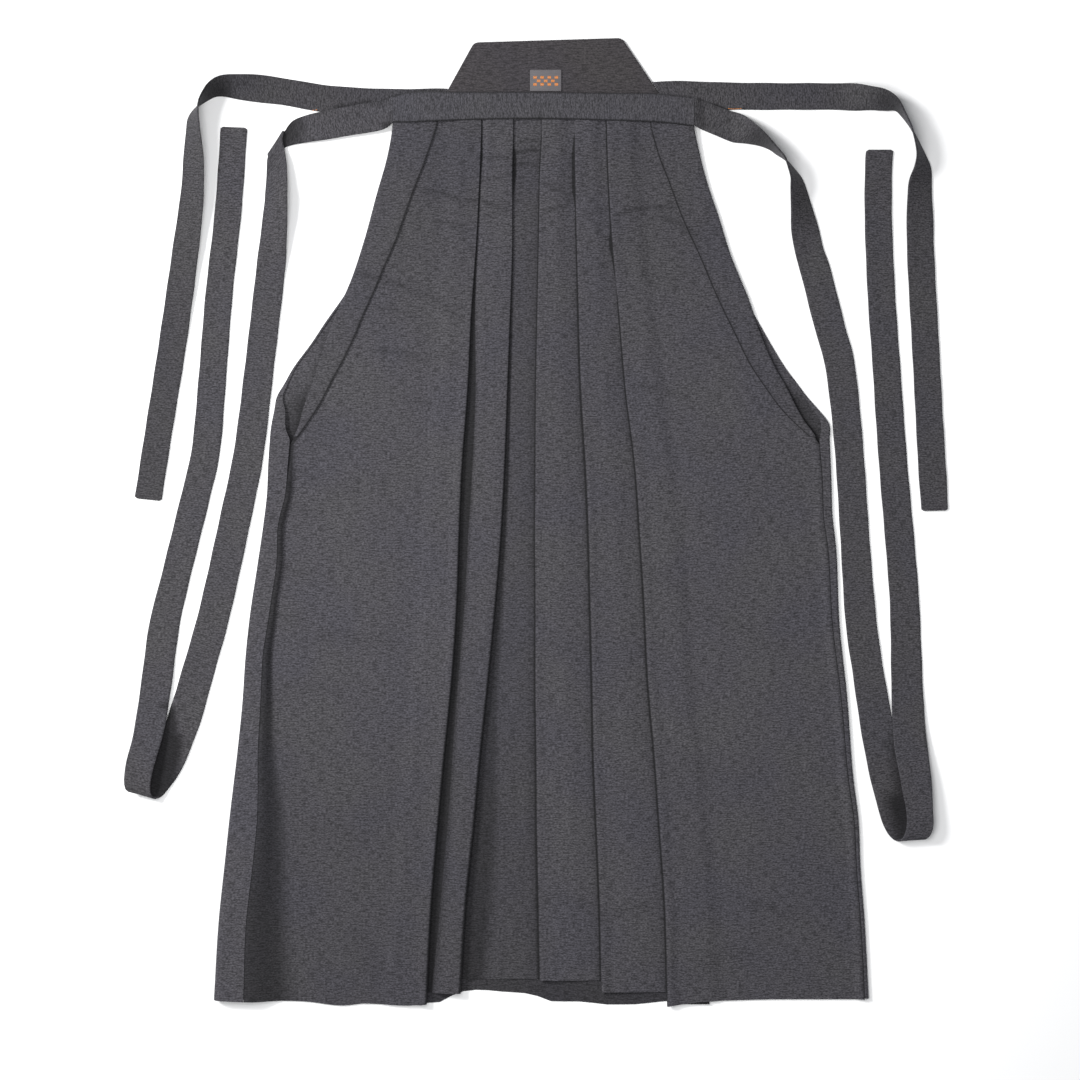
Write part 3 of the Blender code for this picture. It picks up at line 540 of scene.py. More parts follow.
CENTRE = 0.02             # a back cloth begins this far from the centre line
UNDER_HEM = 0.6           # shade on the back cloths where they show below the fronts
OPEN_SHADE = (0.35, 5.0)  # shade in a side opening beside the front cloth, and its reach
FOOT_SHADE = (1.0, 17.0)  # the same in the foot of the opening


def back_line(sign, side, opening, turn_name, y):
    outer = sign * side.at("back", y)
    high = lap_z(y, turn_name)
    fold = turn(outer, high, BACK_Z, sign)[::-1]
    lap_start, lap_end = fold[-1][0], outer - sign * side.at("lap", y)
    front = opening.at("front", y)
    shown = sign * min(front - 2.0, abs(fold[0][0]) - 4.0)
    # The foot of the opening is between y = 60 and y = 150, and the back shows below y = -440
    in_foot = float(ease((y - 60) / 10) * ease((150 - y) / 30))
    depth, reach = (a + (b - a) * in_foot for a, b in zip(OPEN_SHADE, FOOT_SHADE))
    under_hem = UNDER_HEM * float(ease((-440 - y) / 20))
    flat = path(sign * CENTRE, BACK_Z, (shown, BACK_Z, 20))
    open_part = run(shown, BACK_Z, fold[0][0], BACK_Z, 8)[:-1]
    lap = [(lap_start + (lap_end - lap_start) * k / 6, high) for k in range(1, 7)]
    # Painted shade where the back shows below the fronts' hems and beside the front in a side
    # opening
    line = row(flat, 0, under_hem) + beside(open_part, 0, sign * front, depth, reach)
    line += row(fold + lap, 0)
    return [(x, z, BACK_HEM.at("hem", x), painted_shade) for x, z, _, painted_shade in line]


back_left = cloth("back_cloth_left", BOARD_FOOT - GAP, None,
                  lambda y: back_line(-1, LEFT_SIDE, LEFT_OPENING, "left_turn", y), BACK_CREASES)
back_right = cloth("back_cloth_right", BOARD_FOOT - GAP, None,
                   lambda y: back_line(1, RIGHT_SIDE, RIGHT_OPENING, "right_turn", y), BACK_CREASES)

# %% [markdown]
# ## Front cloths
#
# Each front is one wide cloth in knife pleats. A knife pleat goes over, back under its own
# fold, and out again, so three layers lie on each other. Modelling the pleat as one unbroken
# line through its layers gives real fold edges that cast real shadows, where a flat panel with
# grooves would only look like pleats from straight above.

# %% The wide outer part of a front
RISE_TO_LAP = 50.0       # below an opening, the front comes up to the back's lap over this height
SEAM_EDGE = 2.0          # the front's edge is level for this width beside the lap
SEAM_SHADE = (0.9, 1.5)  # shade beside the right seam, and its reach


def pleat_depth(y, more):
    """From an outer pleat's fold edge to its inner fold; at the hem it is so much more."""
    return PLEAT_DEPTH + more * (PLEATS_FROM - y) / (PLEATS_FROM - HEM)


def front_edge(side, opening, y):
    """Outer line of the front cloth, as a distance from the centre line."""
    if y > OPENING_FOOT:
        return opening.at("front", y) - WALL - 2 * GAP
    return side.at("back", y) - side.at("lap", y) - GAP


def edge_z(y, turn_name):
    """Height of the front cloth's outer line: on the back cloth, then beside its lap."""
    share = min(max((OPENING_FOOT - y) / RISE_TO_LAP, 0.0), 1.0)
    return base(y) + share * (lap_z(y, turn_name) - base(y))


def outer_panel(sign, side, opening, turn_name, fall, y, fold, spring, depth, hem):
    """From the outer line of a front to its fold edge's turn."""
    outer = sign * front_edge(side, opening, y)
    inner_fold = fold + sign * depth
    low = base(y)
    top = low + 2 * PITCH
    high = edge_z(y, turn_name)
    turn_width = WALL / 2 + (PITCH + 0.75 * spring) / 2
    seam = path(outer, high, (outer - sign * SEAM_EDGE, high - 0.1, 2),
                (outer - sign * (SEAM_EDGE + fall), low, 12))
    points = path(*seam[-1], (inner_fold + sign * SLOPE_WAY, low, 60), (inner_fold, top, 6),
                  (fold + sign * KNEE, top + 0.3 * spring, 4),
                  (fold + sign * (turn_width + 2.0), top + spring, 4))[1:]
    # Painted shade: a trough beside the left seam, a line beside the right one, and some over the
    # whole panel
    if sign < 0:
        line = valley(seam + points, 0, outer, SHADE.at("seam", y), SHADE.at("seam_reach", y))
        line = deeper(line, PAINTED_DIM.at("left", y))
    else:
        line = deeper(beside(seam, 0, outer, *SEAM_SHADE) + row(points, 0), PAINTED_DIM.at("right", y))
    line[0] = (*seam[0], 0, 1.0)
    return [(x, z, hem.at("hem", x), painted_shade) for x, z, _, painted_shade in line]

# %% Left front: two pleats that face right
RECESS_WALL = 6.0     # the first strip comes up out of the recess over this width
INNER_2 = 13.0        # from the recess to the inner fold under the second pleat
FOLD_REACH = 4.5      # of the soft shade beside the centre fold


def front_left_line(y):
    low = base(y)
    p1, p2, p3 = (PLEATS.at(name, y) for name in ("p1", "p2", "p3"))
    s1, s2 = SPRING.at("p1", y), SPRING.at("p2", y)
    depth = pleat_depth(y, 14)
    rise = p1 + SPRING.at("recess", y)
    hem = LEFT_FRONT_HEM.at("hem", p1)
    line = outer_panel(-1, LEFT_SIDE, LEFT_OPENING, "left_turn", HEIGHTS.at("left_fall", y),
                       y, p1, s1, depth, LEFT_FRONT_HEM)
    crown = low + 2 * PITCH + s2
    line += round_edge(turn(p1, low + 2 * PITCH + s1, low + PITCH + s1 / 4, 1), hem,
                       edge_shades(y))
    line += row([(p1 - KNEE, low + PITCH)], hem + INNER_HEM, 1.0)
    line += row(turn(p1 - depth, low + PITCH, low, -1, 4), STRIP_1_HEM - INNER_HEM, 1.0)
    line += row([(p1 - KNEE, low), (p1, low), (rise, low)], STRIP_1_HEM, 1.0)
    wall_top = rise + RECESS_WALL, crown - 0.5 * s2
    strip_1 = beside(run(rise, low, *wall_top, 6), STRIP_1_HEM, rise,
                     SHADE.at("recess", y), SHADE.at("recess_reach", y))
    strip_1 += row(run(*wall_top, p2 - 6, crown, 8), STRIP_1_HEM)
    line += deeper(strip_1, PAINTED_DIM.at("strip_1", y))
    line += round_edge(turn(p2, crown, low + PITCH + s2 / 4, 1), STRIP_1_HEM, edge_shades(y))
    line += row(turn(rise + INNER_2, low + PITCH, low, -1, 4), STRIP_2_HEM, 1.0)
    line += row([(p2 - 4, low), (p2, low)], STRIP_2_HEM, 0.9)
    middle = (p2 + p3) / 2
    strip_2 = valley(closer(p2, middle, low, 14), STRIP_2_HEM, p2,
                     SHADE.at("p2", y), SHADE.at("p2_reach", y))
    to_fold = closer(p3, middle, low, 9)[::-1][1:] + [(p3 - 0.25, low), (p3, low)]
    strip_2 += under_fold(to_fold, STRIP_2_HEM, p3, FOLD_LINE.at("p3", y),
                          FOLD_LINE.at("soft", y), FOLD_REACH)
    line += deeper(strip_2, PAINTED_DIM.at("strip_2", y))
    line += row([(p3 + SEAM_PAST_CENTRE, low)], STRIP_2_HEM, 0.8)
    return line


front_left = cloth("front_cloth_left", BAND_INSIDE, None, front_left_line, CREASES, SWELLS)

# %% Right front: three pleats that face left
STRIP_SHARE = 0.45       # of the way to the next fold, where a strip starts to come down
UNDER_FOLD = (2.6, 1.9, 1.3, 0.8, 0.4, 0.0, -KNEE)   # a strip's last points, from the next fold


def left_facing_pleat(line, y, name, reach, hem, inner_hem):
    """Add a hidden inner fold and the fold edge above it, facing left."""
    low = base(y)
    fold = PLEATS.at(name, y)
    spring = SPRING.at(name, y)
    line += row(reversed(turn(fold + reach, low + PITCH, low, 1, 4)), inner_hem, 1.0)
    line += row([(fold + KNEE, low + PITCH)], inner_hem, 1.0)
    line += round_edge(turn(fold, low + 2 * PITCH + spring, low + PITCH + spring / 4, -1), hem,
                       EDGE_TO_LIGHT, min(FOLD_LINE.at(name, y) / 0.4, 1.0))[::-1]


def strip(line, y, name, reach, next_name, hem):
    """Add the part of a strip that shows, which comes down to slip under the next one."""
    low = base(y)
    fold, next_fold, spring = PLEATS.at(name, y), PLEATS.at(next_name, y), SPRING.at(name, y)
    top = low + 2 * PITCH
    points = path(*line[-1][:2], (fold + KNEE, top + 0.3 * spring, 4), (fold + reach, top, 6),
                  (next_fold - 3.5, low, 8))[1:]
    points += [(next_fold - away, low) for away in UNDER_FOLD]
    line += under_fold(points, hem, next_fold, FOLD_LINE.at(next_name, y),
                       FOLD_LINE.at("soft", y), 4.0)


def front_right_line(y):
    low = base(y)
    p3, p4, p5 = (PLEATS.at(name, y) for name in ("p3", "p4", "p5"))
    reach_3, reach_4 = STRIP_SHARE * (p4 - p3), STRIP_SHARE * (p5 - p4)
    reach_5 = pleat_depth(y, 24)
    line = row([(p3 + SEAM_PAST_CENTRE + GAP, low), (p3 + KNEE, low)], STRIP_2_HEM, 1.0)
    left_facing_pleat(line, y, "p3", reach_3, STRIP_3_HEM, STRIP_2_HEM)
    strip(line, y, "p3", reach_3, "p4", STRIP_3_HEM)
    left_facing_pleat(line, y, "p4", reach_4, STRIP_4_HEM, STRIP_4_HEM + INNER_HEM)
    strip(line, y, "p4", reach_4, "p5", STRIP_4_HEM)
    hem = RIGHT_FRONT_HEM.at("hem", p5)
    left_facing_pleat(line, y, "p5", reach_5, hem, hem + INNER_HEM)
    outer = outer_panel(1, RIGHT_SIDE, RIGHT_OPENING, "right_turn", 9.0, y, p5,
                        SPRING.at("p5", y), reach_5, RIGHT_FRONT_HEM)
    return line + outer[::-1]


front_right = cloth("front_cloth_right", BAND_INSIDE, None, front_right_line, CREASES, SWELLS)

# %% [markdown]
# ## Side bands
#
# Above the side seams the fronts are open, and each opening's edge is folded over into a flat
# band that is narrow at the foot and wide at the waist. It is turned down a little at its outer
# edge, where it wraps round the front cloth.

# %% Side bands
LIP = 0.5                     # how far a band's inner fold stands up
LIP_SHADE = (1.1, 0.3, 1.4)   # its painted dark line of shade, the soft painted shade beside it and that one's reach
# Painted shade over all of each side band
LEFT_PAINTED_DIM, RIGHT_PAINTED_DIM = 0.12, 0.07
SIDE_BAND_FOOT = 88.0


def side_band_line(sign, opening, painted_dim, y):
    outer = opening.at("front", y)
    inner = outer - opening.at("band", y)
    height = base(y) + PITCH
    lip = LIP * float(ease((405 - y) / 15))   # none under the front band
    points = path(inner, height + lip, (inner + 2.0, height + 0.7 * lip, 3),
                  (outer - 2.0, height, 7))
    points += [(outer - 0.9, height - 0.3), (outer - WALL / 2, height - PITCH)]
    # Painted shade: a dark line along the inner fold, and a little all over the band
    line = deeper(under_fold(points, 0, inner, *LIP_SHADE), painted_dim)
    return [(sign * x, z, 0.0, painted_shade) for x, z, _, painted_shade in line]


side_band_left = cloth("side_band_left_cloth", BAND_INSIDE, SIDE_BAND_FOOT,
                       lambda y: side_band_line(-1, LEFT_OPENING, LEFT_PAINTED_DIM, y), CREASES, SWELLS)
side_band_right = cloth("side_band_right_cloth", BAND_INSIDE, SIDE_BAND_FOOT,
                        lambda y: side_band_line(1, RIGHT_OPENING, RIGHT_PAINTED_DIM, y), CREASES, SWELLS)

# %% [markdown]
# ## Front band
#
# The waist of the front is bound with a band, cut along the cloth and folded over the top of
# the pleats. It is lofted from left to right, because its section in the YZ plane stays nearly
# the same. Its weft therefore runs up and down, across the band.

# %% Front band
BAND = Table(
    "x top foot", (-148.3, 437.5, 411), (-141, 439.8, 411), (-84.5, 442.4, 413), (-6, 442.4, 414.5),
    (69, 441.4, 413), (136, 439.8, 410), (161.7, 436.7, 407))
BAND_LEFT, BAND_RIGHT = -148.3, 161.7
BAND_LEVEL_FROM = -112.0   # from here the band is level over the three cloths,
BAND_LEVEL_TO = 125.0      # up to here
BAND_HIDDEN_EDGE = 6.0     # its back leaf ends this much higher than its front one
BAND_SWELL = 0.35          # how far the cloths inside push the front leaf up
BAND_FOOT_LINE = 0.9       # width of the painted dark line of shade along its foot


def front_band():
    loops, uvs, painted_shades = [], [], []
    for x in np.linspace(BAND_LEFT, BAND_RIGHT, 79):
        share = min((x - BAND_LEFT) / (BAND_LEVEL_FROM - BAND_LEFT),
                    (BAND_RIGHT - x) / (BAND_RIGHT - BAND_LEVEL_TO), 1.0)
        front_z = BAND_END_Z + float(ease(share)) * (BAND_FRONT_Z - BAND_END_Z)
        top, foot = BAND.at("top", x), BAND.at("foot", x)
        swell = BAND_SWELL * math.sin(x / 23.0) ** 2
        line = [(foot + up, front_z) for up in (0.0, 0.8, 1.6, 2.6)]
        line += [(foot + (top - 3 - foot) * k / 6, front_z + swell * math.sin(math.pi * k / 6))
                 for k in range(1, 6)]
        before_turn = len(line)
        line += turn(top, front_z, BAND_BACK_Z, 1)
        line += [(foot + (top - foot) * 0.6, BAND_BACK_Z), (foot + BAND_HIDDEN_EDGE, BAND_BACK_Z)]
        outline = thicken(line)
        loops.append([(x, y, z) for y, z in outline])
        along = lengths_along(line)
        uvs.append(np.stack([there_and_back(along), np.full(len(outline), x)], axis=1))
        # Painted shade: a dark line along the band's foot, and darker round its top turn
        past_line = along - BAND_FOOT_LINE
        shade = np.where(past_line < 0, 1.0, 0.5 * np.exp(-past_line / 0.8))
        shade[before_turn + 1:before_turn + 4] = (0.1, 0.5, 0.9)
        shade[before_turn + 4:] = 1.0
        painted_shades.append(there_and_back(shade))
    made = loft("front_band_cloth", loops, uvs)
    store_painted_shade(made, np.concatenate(painted_shades))
    return made


band = front_band()
print("front band", len(band.data.polygons), "faces")

# %% [markdown]
# ## Back board
#
# A stiff board, shaped like the lower part of a trapezium and covered with the cloth, supports
# the small of the back. Cloth pulled round a board gives softly rounded edges, so its side is
# built as rings that step in as they reach the upper and lower faces.

# %% Back board
BOARD_CORNERS = ((-64.9, 494.4), (-108.2, BOARD_FOOT), (143.2, BOARD_FOOT), (87.5, 499.0))
BOARD_ROUNDS = ((5.0, 6), (1.5, 3), (1.5, 3), (5.0, 6))   # radius of each corner, and its steps
# The steps of its side, each as how far in it lies and its height
BOARD_RINGS = ((0.9, 0.0), (0.2, 0.35), (0.0, 1.0), (0.0, 3.0), (0.25, 3.6), (0.9, 3.93),
               (2.0, 4.0))


def rounded_corner(before, corner, after, radius, steps):
    corner = np.array(corner, float)
    start, end = (corner + unit(np.array(place) - corner) * radius for place in (before, after))
    return [tuple((1 - s) ** 2 * start + 2 * s * (1 - s) * corner + s * s * end)
            for s in (k / steps for k in range(steps + 1))]


def rounded_outline(corners, rounds):
    """The outline through these corners, each rounded with its own (radius, steps)."""
    outline = []
    for i, (radius, steps) in enumerate(rounds):
        after = corners[(i + 1) % len(corners)]
        outline += rounded_corner(corners[i - 1], corners[i], after, radius, steps)
    return outline


def inset(outline, by):
    """Move every point of a convex outline inwards by the same distance."""
    outline = np.array(outline, float)
    before, after = np.roll(outline, 1, axis=0), np.roll(outline, -1, axis=0)
    normals = left_of(unit(outline - before) + unit(after - outline))
    inward = np.sign(np.sum((outline.mean(axis=0) - outline) * normals, axis=1))[:, None]
    return outline + normals * inward * by


def padded_plate(name, outline, rings, z0=0.0):
    """A plate whose edge is built of rings, each (inset, height), under and over flat faces."""
    count = len(outline)
    points, uvs = [], []
    for by, z in rings:
        ring = inset(outline, by)
        points += [(x, y, z0 + z) for x, y in ring]
        uvs += [(x, y) for x, y in ring]
    faces = [tuple(range(count - 1, -1, -1)),
             tuple(range((len(rings) - 1) * count, len(rings) * count))]
    for i in range(len(rings) - 1):
        faces += [(i * count + j, i * count + (j + 1) % count,
                   (i + 1) * count + (j + 1) % count, (i + 1) * count + j) for j in range(count)]
    return add_mesh(name, points, faces, uvs, smooth_angle=35)


board = padded_plate("back_board_cover", rounded_outline(BOARD_CORNERS, BOARD_ROUNDS), BOARD_RINGS)
print("back board", len(board.data.polygons), "faces")

# %% [markdown]
# ## Label
#
# A small woven label is sewn to the board. It carries no name here, only a plain check woven in
# orange, the pattern of alternating squares that cloth has been woven in for centuries.

# %% Label
LABEL_LOW = (-7.2, 443.9)
LABEL_HIGH = (25.2, 466.0)
LABEL_Z = 4.3
LABEL_RINGS = ((0.2, 0.0), (0.0, 0.25), (0.0, 0.6), (0.25, 0.9), (0.8, 1.0))

(label_x0, label_y0), (label_x1, label_y1) = LABEL_LOW, LABEL_HIGH
label_corners = [(label_x0, label_y0), (label_x1, label_y0), (label_x1, label_y1),
                 (label_x0, label_y1)]
label = padded_plate("woven_label", rounded_outline(label_corners, [(1.0, 3)] * 4), LABEL_RINGS,
                     LABEL_Z)
print("label", round(label_x1 - label_x0, 1), "by", round(label_y1 - label_y0, 1), "mm")

# %% [markdown]
# ## Straps
#
# The straps are doubled cloth, about 28 to 32 mm wide, and far longer than the garment. At each
# corner a strap stands up on its edge and turns over. Each row of a strap's table says where its
# middle is, which way is across it, how wide it is, how far it has tilted about its own length
# and how high it clears the table. The two long ones also double back in a loop at the bottom.
# As in the garment's tables, what a row leaves out is as in the row before.

# %% Tables of the four straps
REAR_STRAP_LEFT = (
    # x, y, across, width, tilt, lift
    (-99.7, 432.6, -119, 32.5, 0, 1.0), (-141, 432.3, -90, 28.5, 0, 0.8),
    (-210, 435.7, -88, 28.5, 0, 0), (-270, 445, -80, 29, -5), (-304.8, 447.2, -80, 29, -30),
    (-323.1, 447.6, -76, 28, -50), (-333.2, 443.9, -63, 28, -67), (-338.8, 438.8, -53, 28.5, -78),
    (-345.5, 431.2, -40, 29, -92), (-350, 423.5, -27, 29, -107), (-352.9, 413.6, -18, 29, -121),
    (-353.1, 400, -12, 29, -129), (-353.2, 376, -7, 29, -143), (-354.8, 338, -5, 29, -153),
    (-362, 281, -5, 28.5, -168), (-376, 183, -6, 28.5, -180), (-390, 95, -6, 28),
    (-401.2, 23.2, -6, 28))
REAR_STRAP_RIGHT = (
    (127.6, 440.3, -56, 32.5, 0, 1.0), (168, 440.3, -88, 28, 0, 0.8), (202, 439.3, -91, 28, 0, 0),
    (257, 439, -90, 27.5), (313, 438.8, -90, 27.5), (339.7, 436.3, -90, 28, -34),
    (355.5, 433.8, -97, 28, -47), (364.8, 429.6, -115, 28, -66), (371, 425.8, -131, 28, -84),
    (375.5, 419.5, -146, 28, -91), (381.1, 410.8, -155, 28, -96), (384.6, 404.4, -159, 28, -99),
    (390, 391.2, -166, 28, -106), (394.6, 376.8, -171, 28, -117), (396.3, 364.5, -175, 28, -135),
    (394.5, 351.5, -178, 28.3, -151), (394, 338, -179, 28.5, -158), (394.5, 313, -180, 28.8, -168),
    (396, 265, -180, 28.3, -176), (400.7, 181, -180, 28, -180), (404, 118, -179, 28),
    (407.6, 54, -178, 28.5), (410.2, 11.6, -179, 27.5))
FRONT_STRAP_LEFT = (
    (-148.4, 424.2, -90, 27, 0, 6.8), (-160, 418.6, -80, 28.8, 0, 5.2),
    (-183, 415, -78, 30.5, 0, 3.6), (-222, 408, -77, 29, 0, 3.0), (-238, 405.3, -90, 28.5, 0, 1.2),
    (-252, 401.9, -102, 28, 0, 0), (-259.8, 397.2, -109, 28.9), (-268.2, 390.3, -122, 30.5, 0, 0.2),
    (-269.5, 390.7, -123, 30.2, 0, 1.8), (-269, 388.2, -124, 29.5, 0, 3.6),
    (-270, 383.6, -126.5, 27.5, 0, 3.9), (-269.4, 374.3, -130, 28.3, 0, 3.4),
    (-268.5, 363, -139, 28.5, -12, 1.4), (-268.4, 346.1, -153, 29.4, -22, 0.1),
    (-268.7, 329.6, -174, 29, -29, 0), (-271.5, 292, -186, 29, -13), (-275.5, 253, -186, 30, 0),
    (-286, 163, -186, 30), (-297, 74, -188, 31), (-309.5, 11, -189, 32), (-332, -91, -191, 32.5),
    (-349.8, -155, -193, 33), (-361.9, -197, -195, 34), (-373.8, -231, -198, 33),
    (-383.5, -255, -200, 30.3), (-394, -271, -200, 28.5, 0, 1.2),
    (-400.5, -278.5, -198, 28, 0, 3.5), (-405, -280.5, -196, 28, 0, 7.0),
    (-409, -278, -195, 28, 0, 11.0), (-410.4, -269, -194, 28, 0, 13.2),
    (-408, -250, -190, 28.5, 0, 11.5), (-399.7, -217, -186, 30.5, 0, 7.0),
    (-393, -172, -184, 31.5, 0, 2.2), (-384.5, -107, -184, 31.5, 0, 0), (-373.5, -60, -185, 30),
    (-353, 23, -185, 30), (-341.5, 75, -184, 29.5), (-335, 147, -183, 28.5), (-328, 235, -183, 28),
    (-318.3, 324, -183, 27.5), (-312.6, 407.2, -182, 27.5))
FRONT_STRAP_RIGHT = (
    (161.8, 421.8, -90, 27.5, 0, 6.8), (172, 418.3, -98, 29, 0, 4.9),
    (193, 410.3, -108, 29.5, 0, 3.0), (203, 406.8, -113, 30, -8, 1.4),
    (211.9, 402.2, -119, 29.5, -31, 0.2), (217.7, 399.3, -123, 29, -45, 0),
    (224.4, 396, -126, 29, -58), (232.4, 391.5, -131, 29, -73), (240.9, 385.5, -138, 29, -85),
    (247.7, 379.3, -142, 29, -90), (254.9, 372.8, -148, 29, -97), (261.3, 362.5, -161, 29, -108),
    (266.2, 353.4, -170, 29, -118), (268.3, 344.4, -174, 29, -127), (270.5, 332.3, -176, 29, -137),
    (273.4, 316.2, -177, 29.6, -150), (276.6, 298.2, -177, 30.5, -166),
    (280.7, 280, -176, 30.8, -174), (287.5, 258, -176, 31.5, -180), (302.5, 199, -176, 31.5),
    (311, 169, -177, 31), (317, 126, -178, 30), (322.7, 63, -177, 29.5), (328, -19, -177, 30),
    (334, -101, -176, 32), (341.5, -155, -175, 32), (351.2, -214, -173, 34),
    (359.5, -262, -172, 32), (368, -299, -171, 29.5), (373.5, -315, -172, 29, -180, 1.4),
    (378.5, -323.5, -174, 28, -180, 4.2), (384, -326.8, -176, 27.5, -180, 8.0),
    (389.5, -323.5, -177, 27.5, -180, 11.8), (393, -312, -177, 27.5, -180, 13.6),
    (392.5, -293, -175, 28, -180, 12.6), (389.2, -262, -173, 32, -180, 9.0),
    (384.6, -228, -175, 33.8, -180, 4.5), (382, -183, -178, 32.8, -180, 0.8),
    (379.3, -89, -179, 30.5, -180, 0), (374, -18, -180, 30), (369, 39, -180, 29.5),
    (364, 105, -180, 29), (360, 166, -180, 28.5), (355.5, 229, -180, 28.5), (352, 310, -180, 28),
    (352.3, 366, -180, 28), (353.6, 384, -180, 28))

# %% Make the straps
STRAP = 1.9            # a doubled cloth
STRAP_SPACING = 3.0    # from one section to the next
STRAP_END_ROUND = 2.5  # radius of the corners of its end
STRAP_REST = 1.0       # height of a strap's middle where it lies flat
STRAP_SWELL = 0.35     # how far it lies unevenly, in waves of these lengths along it
STRAP_WAVES = (9, 16, 27, 44)
# The outline of a strap's section, as shares of half its width and half its thickness: the
# folded edges hold the turned-in cloth, so they are a little fuller than the middle.
RIGHT_HALF = [(0.0, 0.82), (0.12, 0.82), (0.23, 0.83), (0.35, 0.84), (0.47, 0.86), (0.59, 0.89),
              (0.72, 0.92), (0.84, 0.95), (0.94, 1.0), (0.985, 0.7), (1.0, 0.0)]
UPPER_SIDE = [(-a, b) for a, b in RIGHT_HALF[8:0:-1]] + RIGHT_HALF
STRAP_SECTION = UPPER_SIDE + [(-a, -b) for a, b in UPPER_SIDE]
# Shade where a strap bends over and inside the loops, as lines with a reach
STRAP_SHADE = (
    # x0, y0, x1, y1, reach, how deep, only below this height, how sharply it ends
    (-322, 445, -338, 440, 13, 0.8, 40, 2), (-338, 440, -346, 432, 7, 0.6, 40, 2),
    (371, 428, 358, 434, 9, 0.65, 40, 2), (-258, 408, -262, 390, 21, 0.85, 3.4, 2),
    (226, 396, 240, 386, 9, 0.55, 40, 2), (167, 434, 170, 409, 3.5, 0.6, 40, 2),
    (-152, 410, -156, 408, 3.5, 0.8, 40, 2), (-156, 434, -163, 429, 3, 0.35, 40, 2),
    (-208, 427.5, -150, 438.2, 1.6, 0.9, 2.6, 2), (166, 437, 196, 425, 1.6, 0.9, 2.6, 2),
    (-382, -196, -379, -228, 10, 0.95, 6, 6), (-380, -228, -388, -272, 16, 1.0, 8, 6),
    (371, -228, 377, -286, 9, 0.8, 5, 2), (374, -290, 382, -322, 16, 1.0, 9, 3))


def shade_at(points):
    """How deep in shade these points of a strap are."""
    deep = np.zeros(len(points))
    for x0, y0, x1, y1, reach, depth, below, power in STRAP_SHADE:
        start, way = np.array([x0, y0]), np.array([x1 - x0, y1 - y0])
        along = np.clip((points[:, :2] - start) @ way / (way @ way), 0, 1)
        off = np.linalg.norm(points[:, :2] - start - along[:, None] * way, axis=1)
        deep = np.maximum(deep, depth * np.exp(-(off / reach) ** power) * (points[:, 2] < below))
    return deep


def blend(values, i, s):
    """Smooth value between rows i and i + 1 of a strap's table."""
    before, after = values[max(i - 1, 0)], values[min(i + 2, len(values) - 1)]
    a, b = values[i], values[i + 1]
    return 0.5 * (2 * a + (b - before) * s + (2 * before - 5 * a + 4 * b - after) * s * s
                  + (3 * a - before - 3 * b + after) * s ** 3)


def strap(name, table, seed, painted_dim=0.0):
    """Cloth and length of a strap; the last argument is the least shade painted all over it."""
    rows = filled(table)
    dense = []
    for i in range(len(rows) - 1):
        count = max(2, int(np.linalg.norm(rows[i + 1, :2] - rows[i, :2]) / STRAP_SPACING))
        dense += [blend(rows, i, k / count) for k in range(count)]
    x, y, across, width, tilt, lift = np.array(dense + [rows[-1]]).T
    across, tilt = np.radians(across), np.radians(np.clip(tilt, -180, 0))
    height = (np.maximum(lift, 0) + width / 2 * np.abs(np.sin(tilt))
              + STRAP_REST * np.abs(np.cos(tilt)))
    centres = np.stack([x, y, height], axis=1)
    length = lengths_along(centres)
    phases = np.random.default_rng(seed).uniform(0, 6.28, 4)
    wave = sum(np.sin(length / w + p) for w, p in zip(STRAP_WAVES, phases)) / len(STRAP_WAVES)
    centres[:, 2] += STRAP_SWELL * (1 + wave) * np.clip(length / 15, 0, 1)
    sides = np.stack([np.cos(tilt) * np.cos(across), np.cos(tilt) * np.sin(across),
                      np.sin(tilt)], axis=1)
    ups = unit(np.cross(np.gradient(centres, axis=0), sides))
    loops, uvs = [], []
    for i, centre in enumerate(centres):
        near_end = max(0.0, 1 - (length[-1] - length[i]) / STRAP_END_ROUND)
        half = width[i] / 2 - STRAP_END_ROUND * (1 - math.sqrt(max(0.0, 1 - near_end ** 2)))
        half += 0.15 * math.sin(length[i] / 7 + phases[0])
        loops.append([centre + sides[i] * a * half + ups[i] * b * STRAP / 2
                      for a, b in STRAP_SECTION])
        uvs.append([(a * half, length[i]) for a, b in STRAP_SECTION])
    made = loft(name, loops, uvs)
    # Painted shade in the loops and turns, and no less all over than the shade given for the whole
    # strap
    store_painted_shade(made, np.maximum(shade_at(np.vstack(loops)), painted_dim))
    print(name, "is %.0f mm long" % length[-1])
    return made, length[-1]


# The rear straps get a little painted shade all over, the left one most
rear_strap_left, rear_left_length = strap("rear_strap_left_cloth", REAR_STRAP_LEFT, 3, 0.2)
rear_strap_right, rear_right_length = strap("rear_strap_right_cloth", REAR_STRAP_RIGHT, 5, 0.04)
front_strap_left, front_left_length = strap("front_strap_left_cloth", FRONT_STRAP_LEFT, 7)
front_strap_right, front_right_length = strap("front_strap_right_cloth", FRONT_STRAP_RIGHT, 11)

# %% [markdown]
# ## Stitches
#
# Stitches follow a line at an even spacing, which is just what Geometry Nodes are for. The tree
# below turns a plain line of edges into a curve, puts points along it, and sets one short thread
# on each point, turned along the line. The threads are made real at the end, and the result is
# baked to a plain mesh, because an export keeps meshes and not instances.
#
# A second tree weaves the label's check: a grid of points, of which only those in every other
# square get a thread.

# %% Functions that add nodes, and one that bakes a tree
def node_maker(tree):
    """A function that adds a node to this tree and returns one of its outputs."""
    def put(kind, inputs=None, output=0, **settings):
        made = tree.nodes.new(kind)
        for key, value in settings.items():
            setattr(made, key, value)
        for key, value in (inputs or {}).items():
            if isinstance(value, bpy.types.NodeSocket):
                tree.links.new(value, made.inputs[key])
            else:
                made.inputs[key].default_value = value
        return made.outputs if output is None else made.outputs[output]
    return put


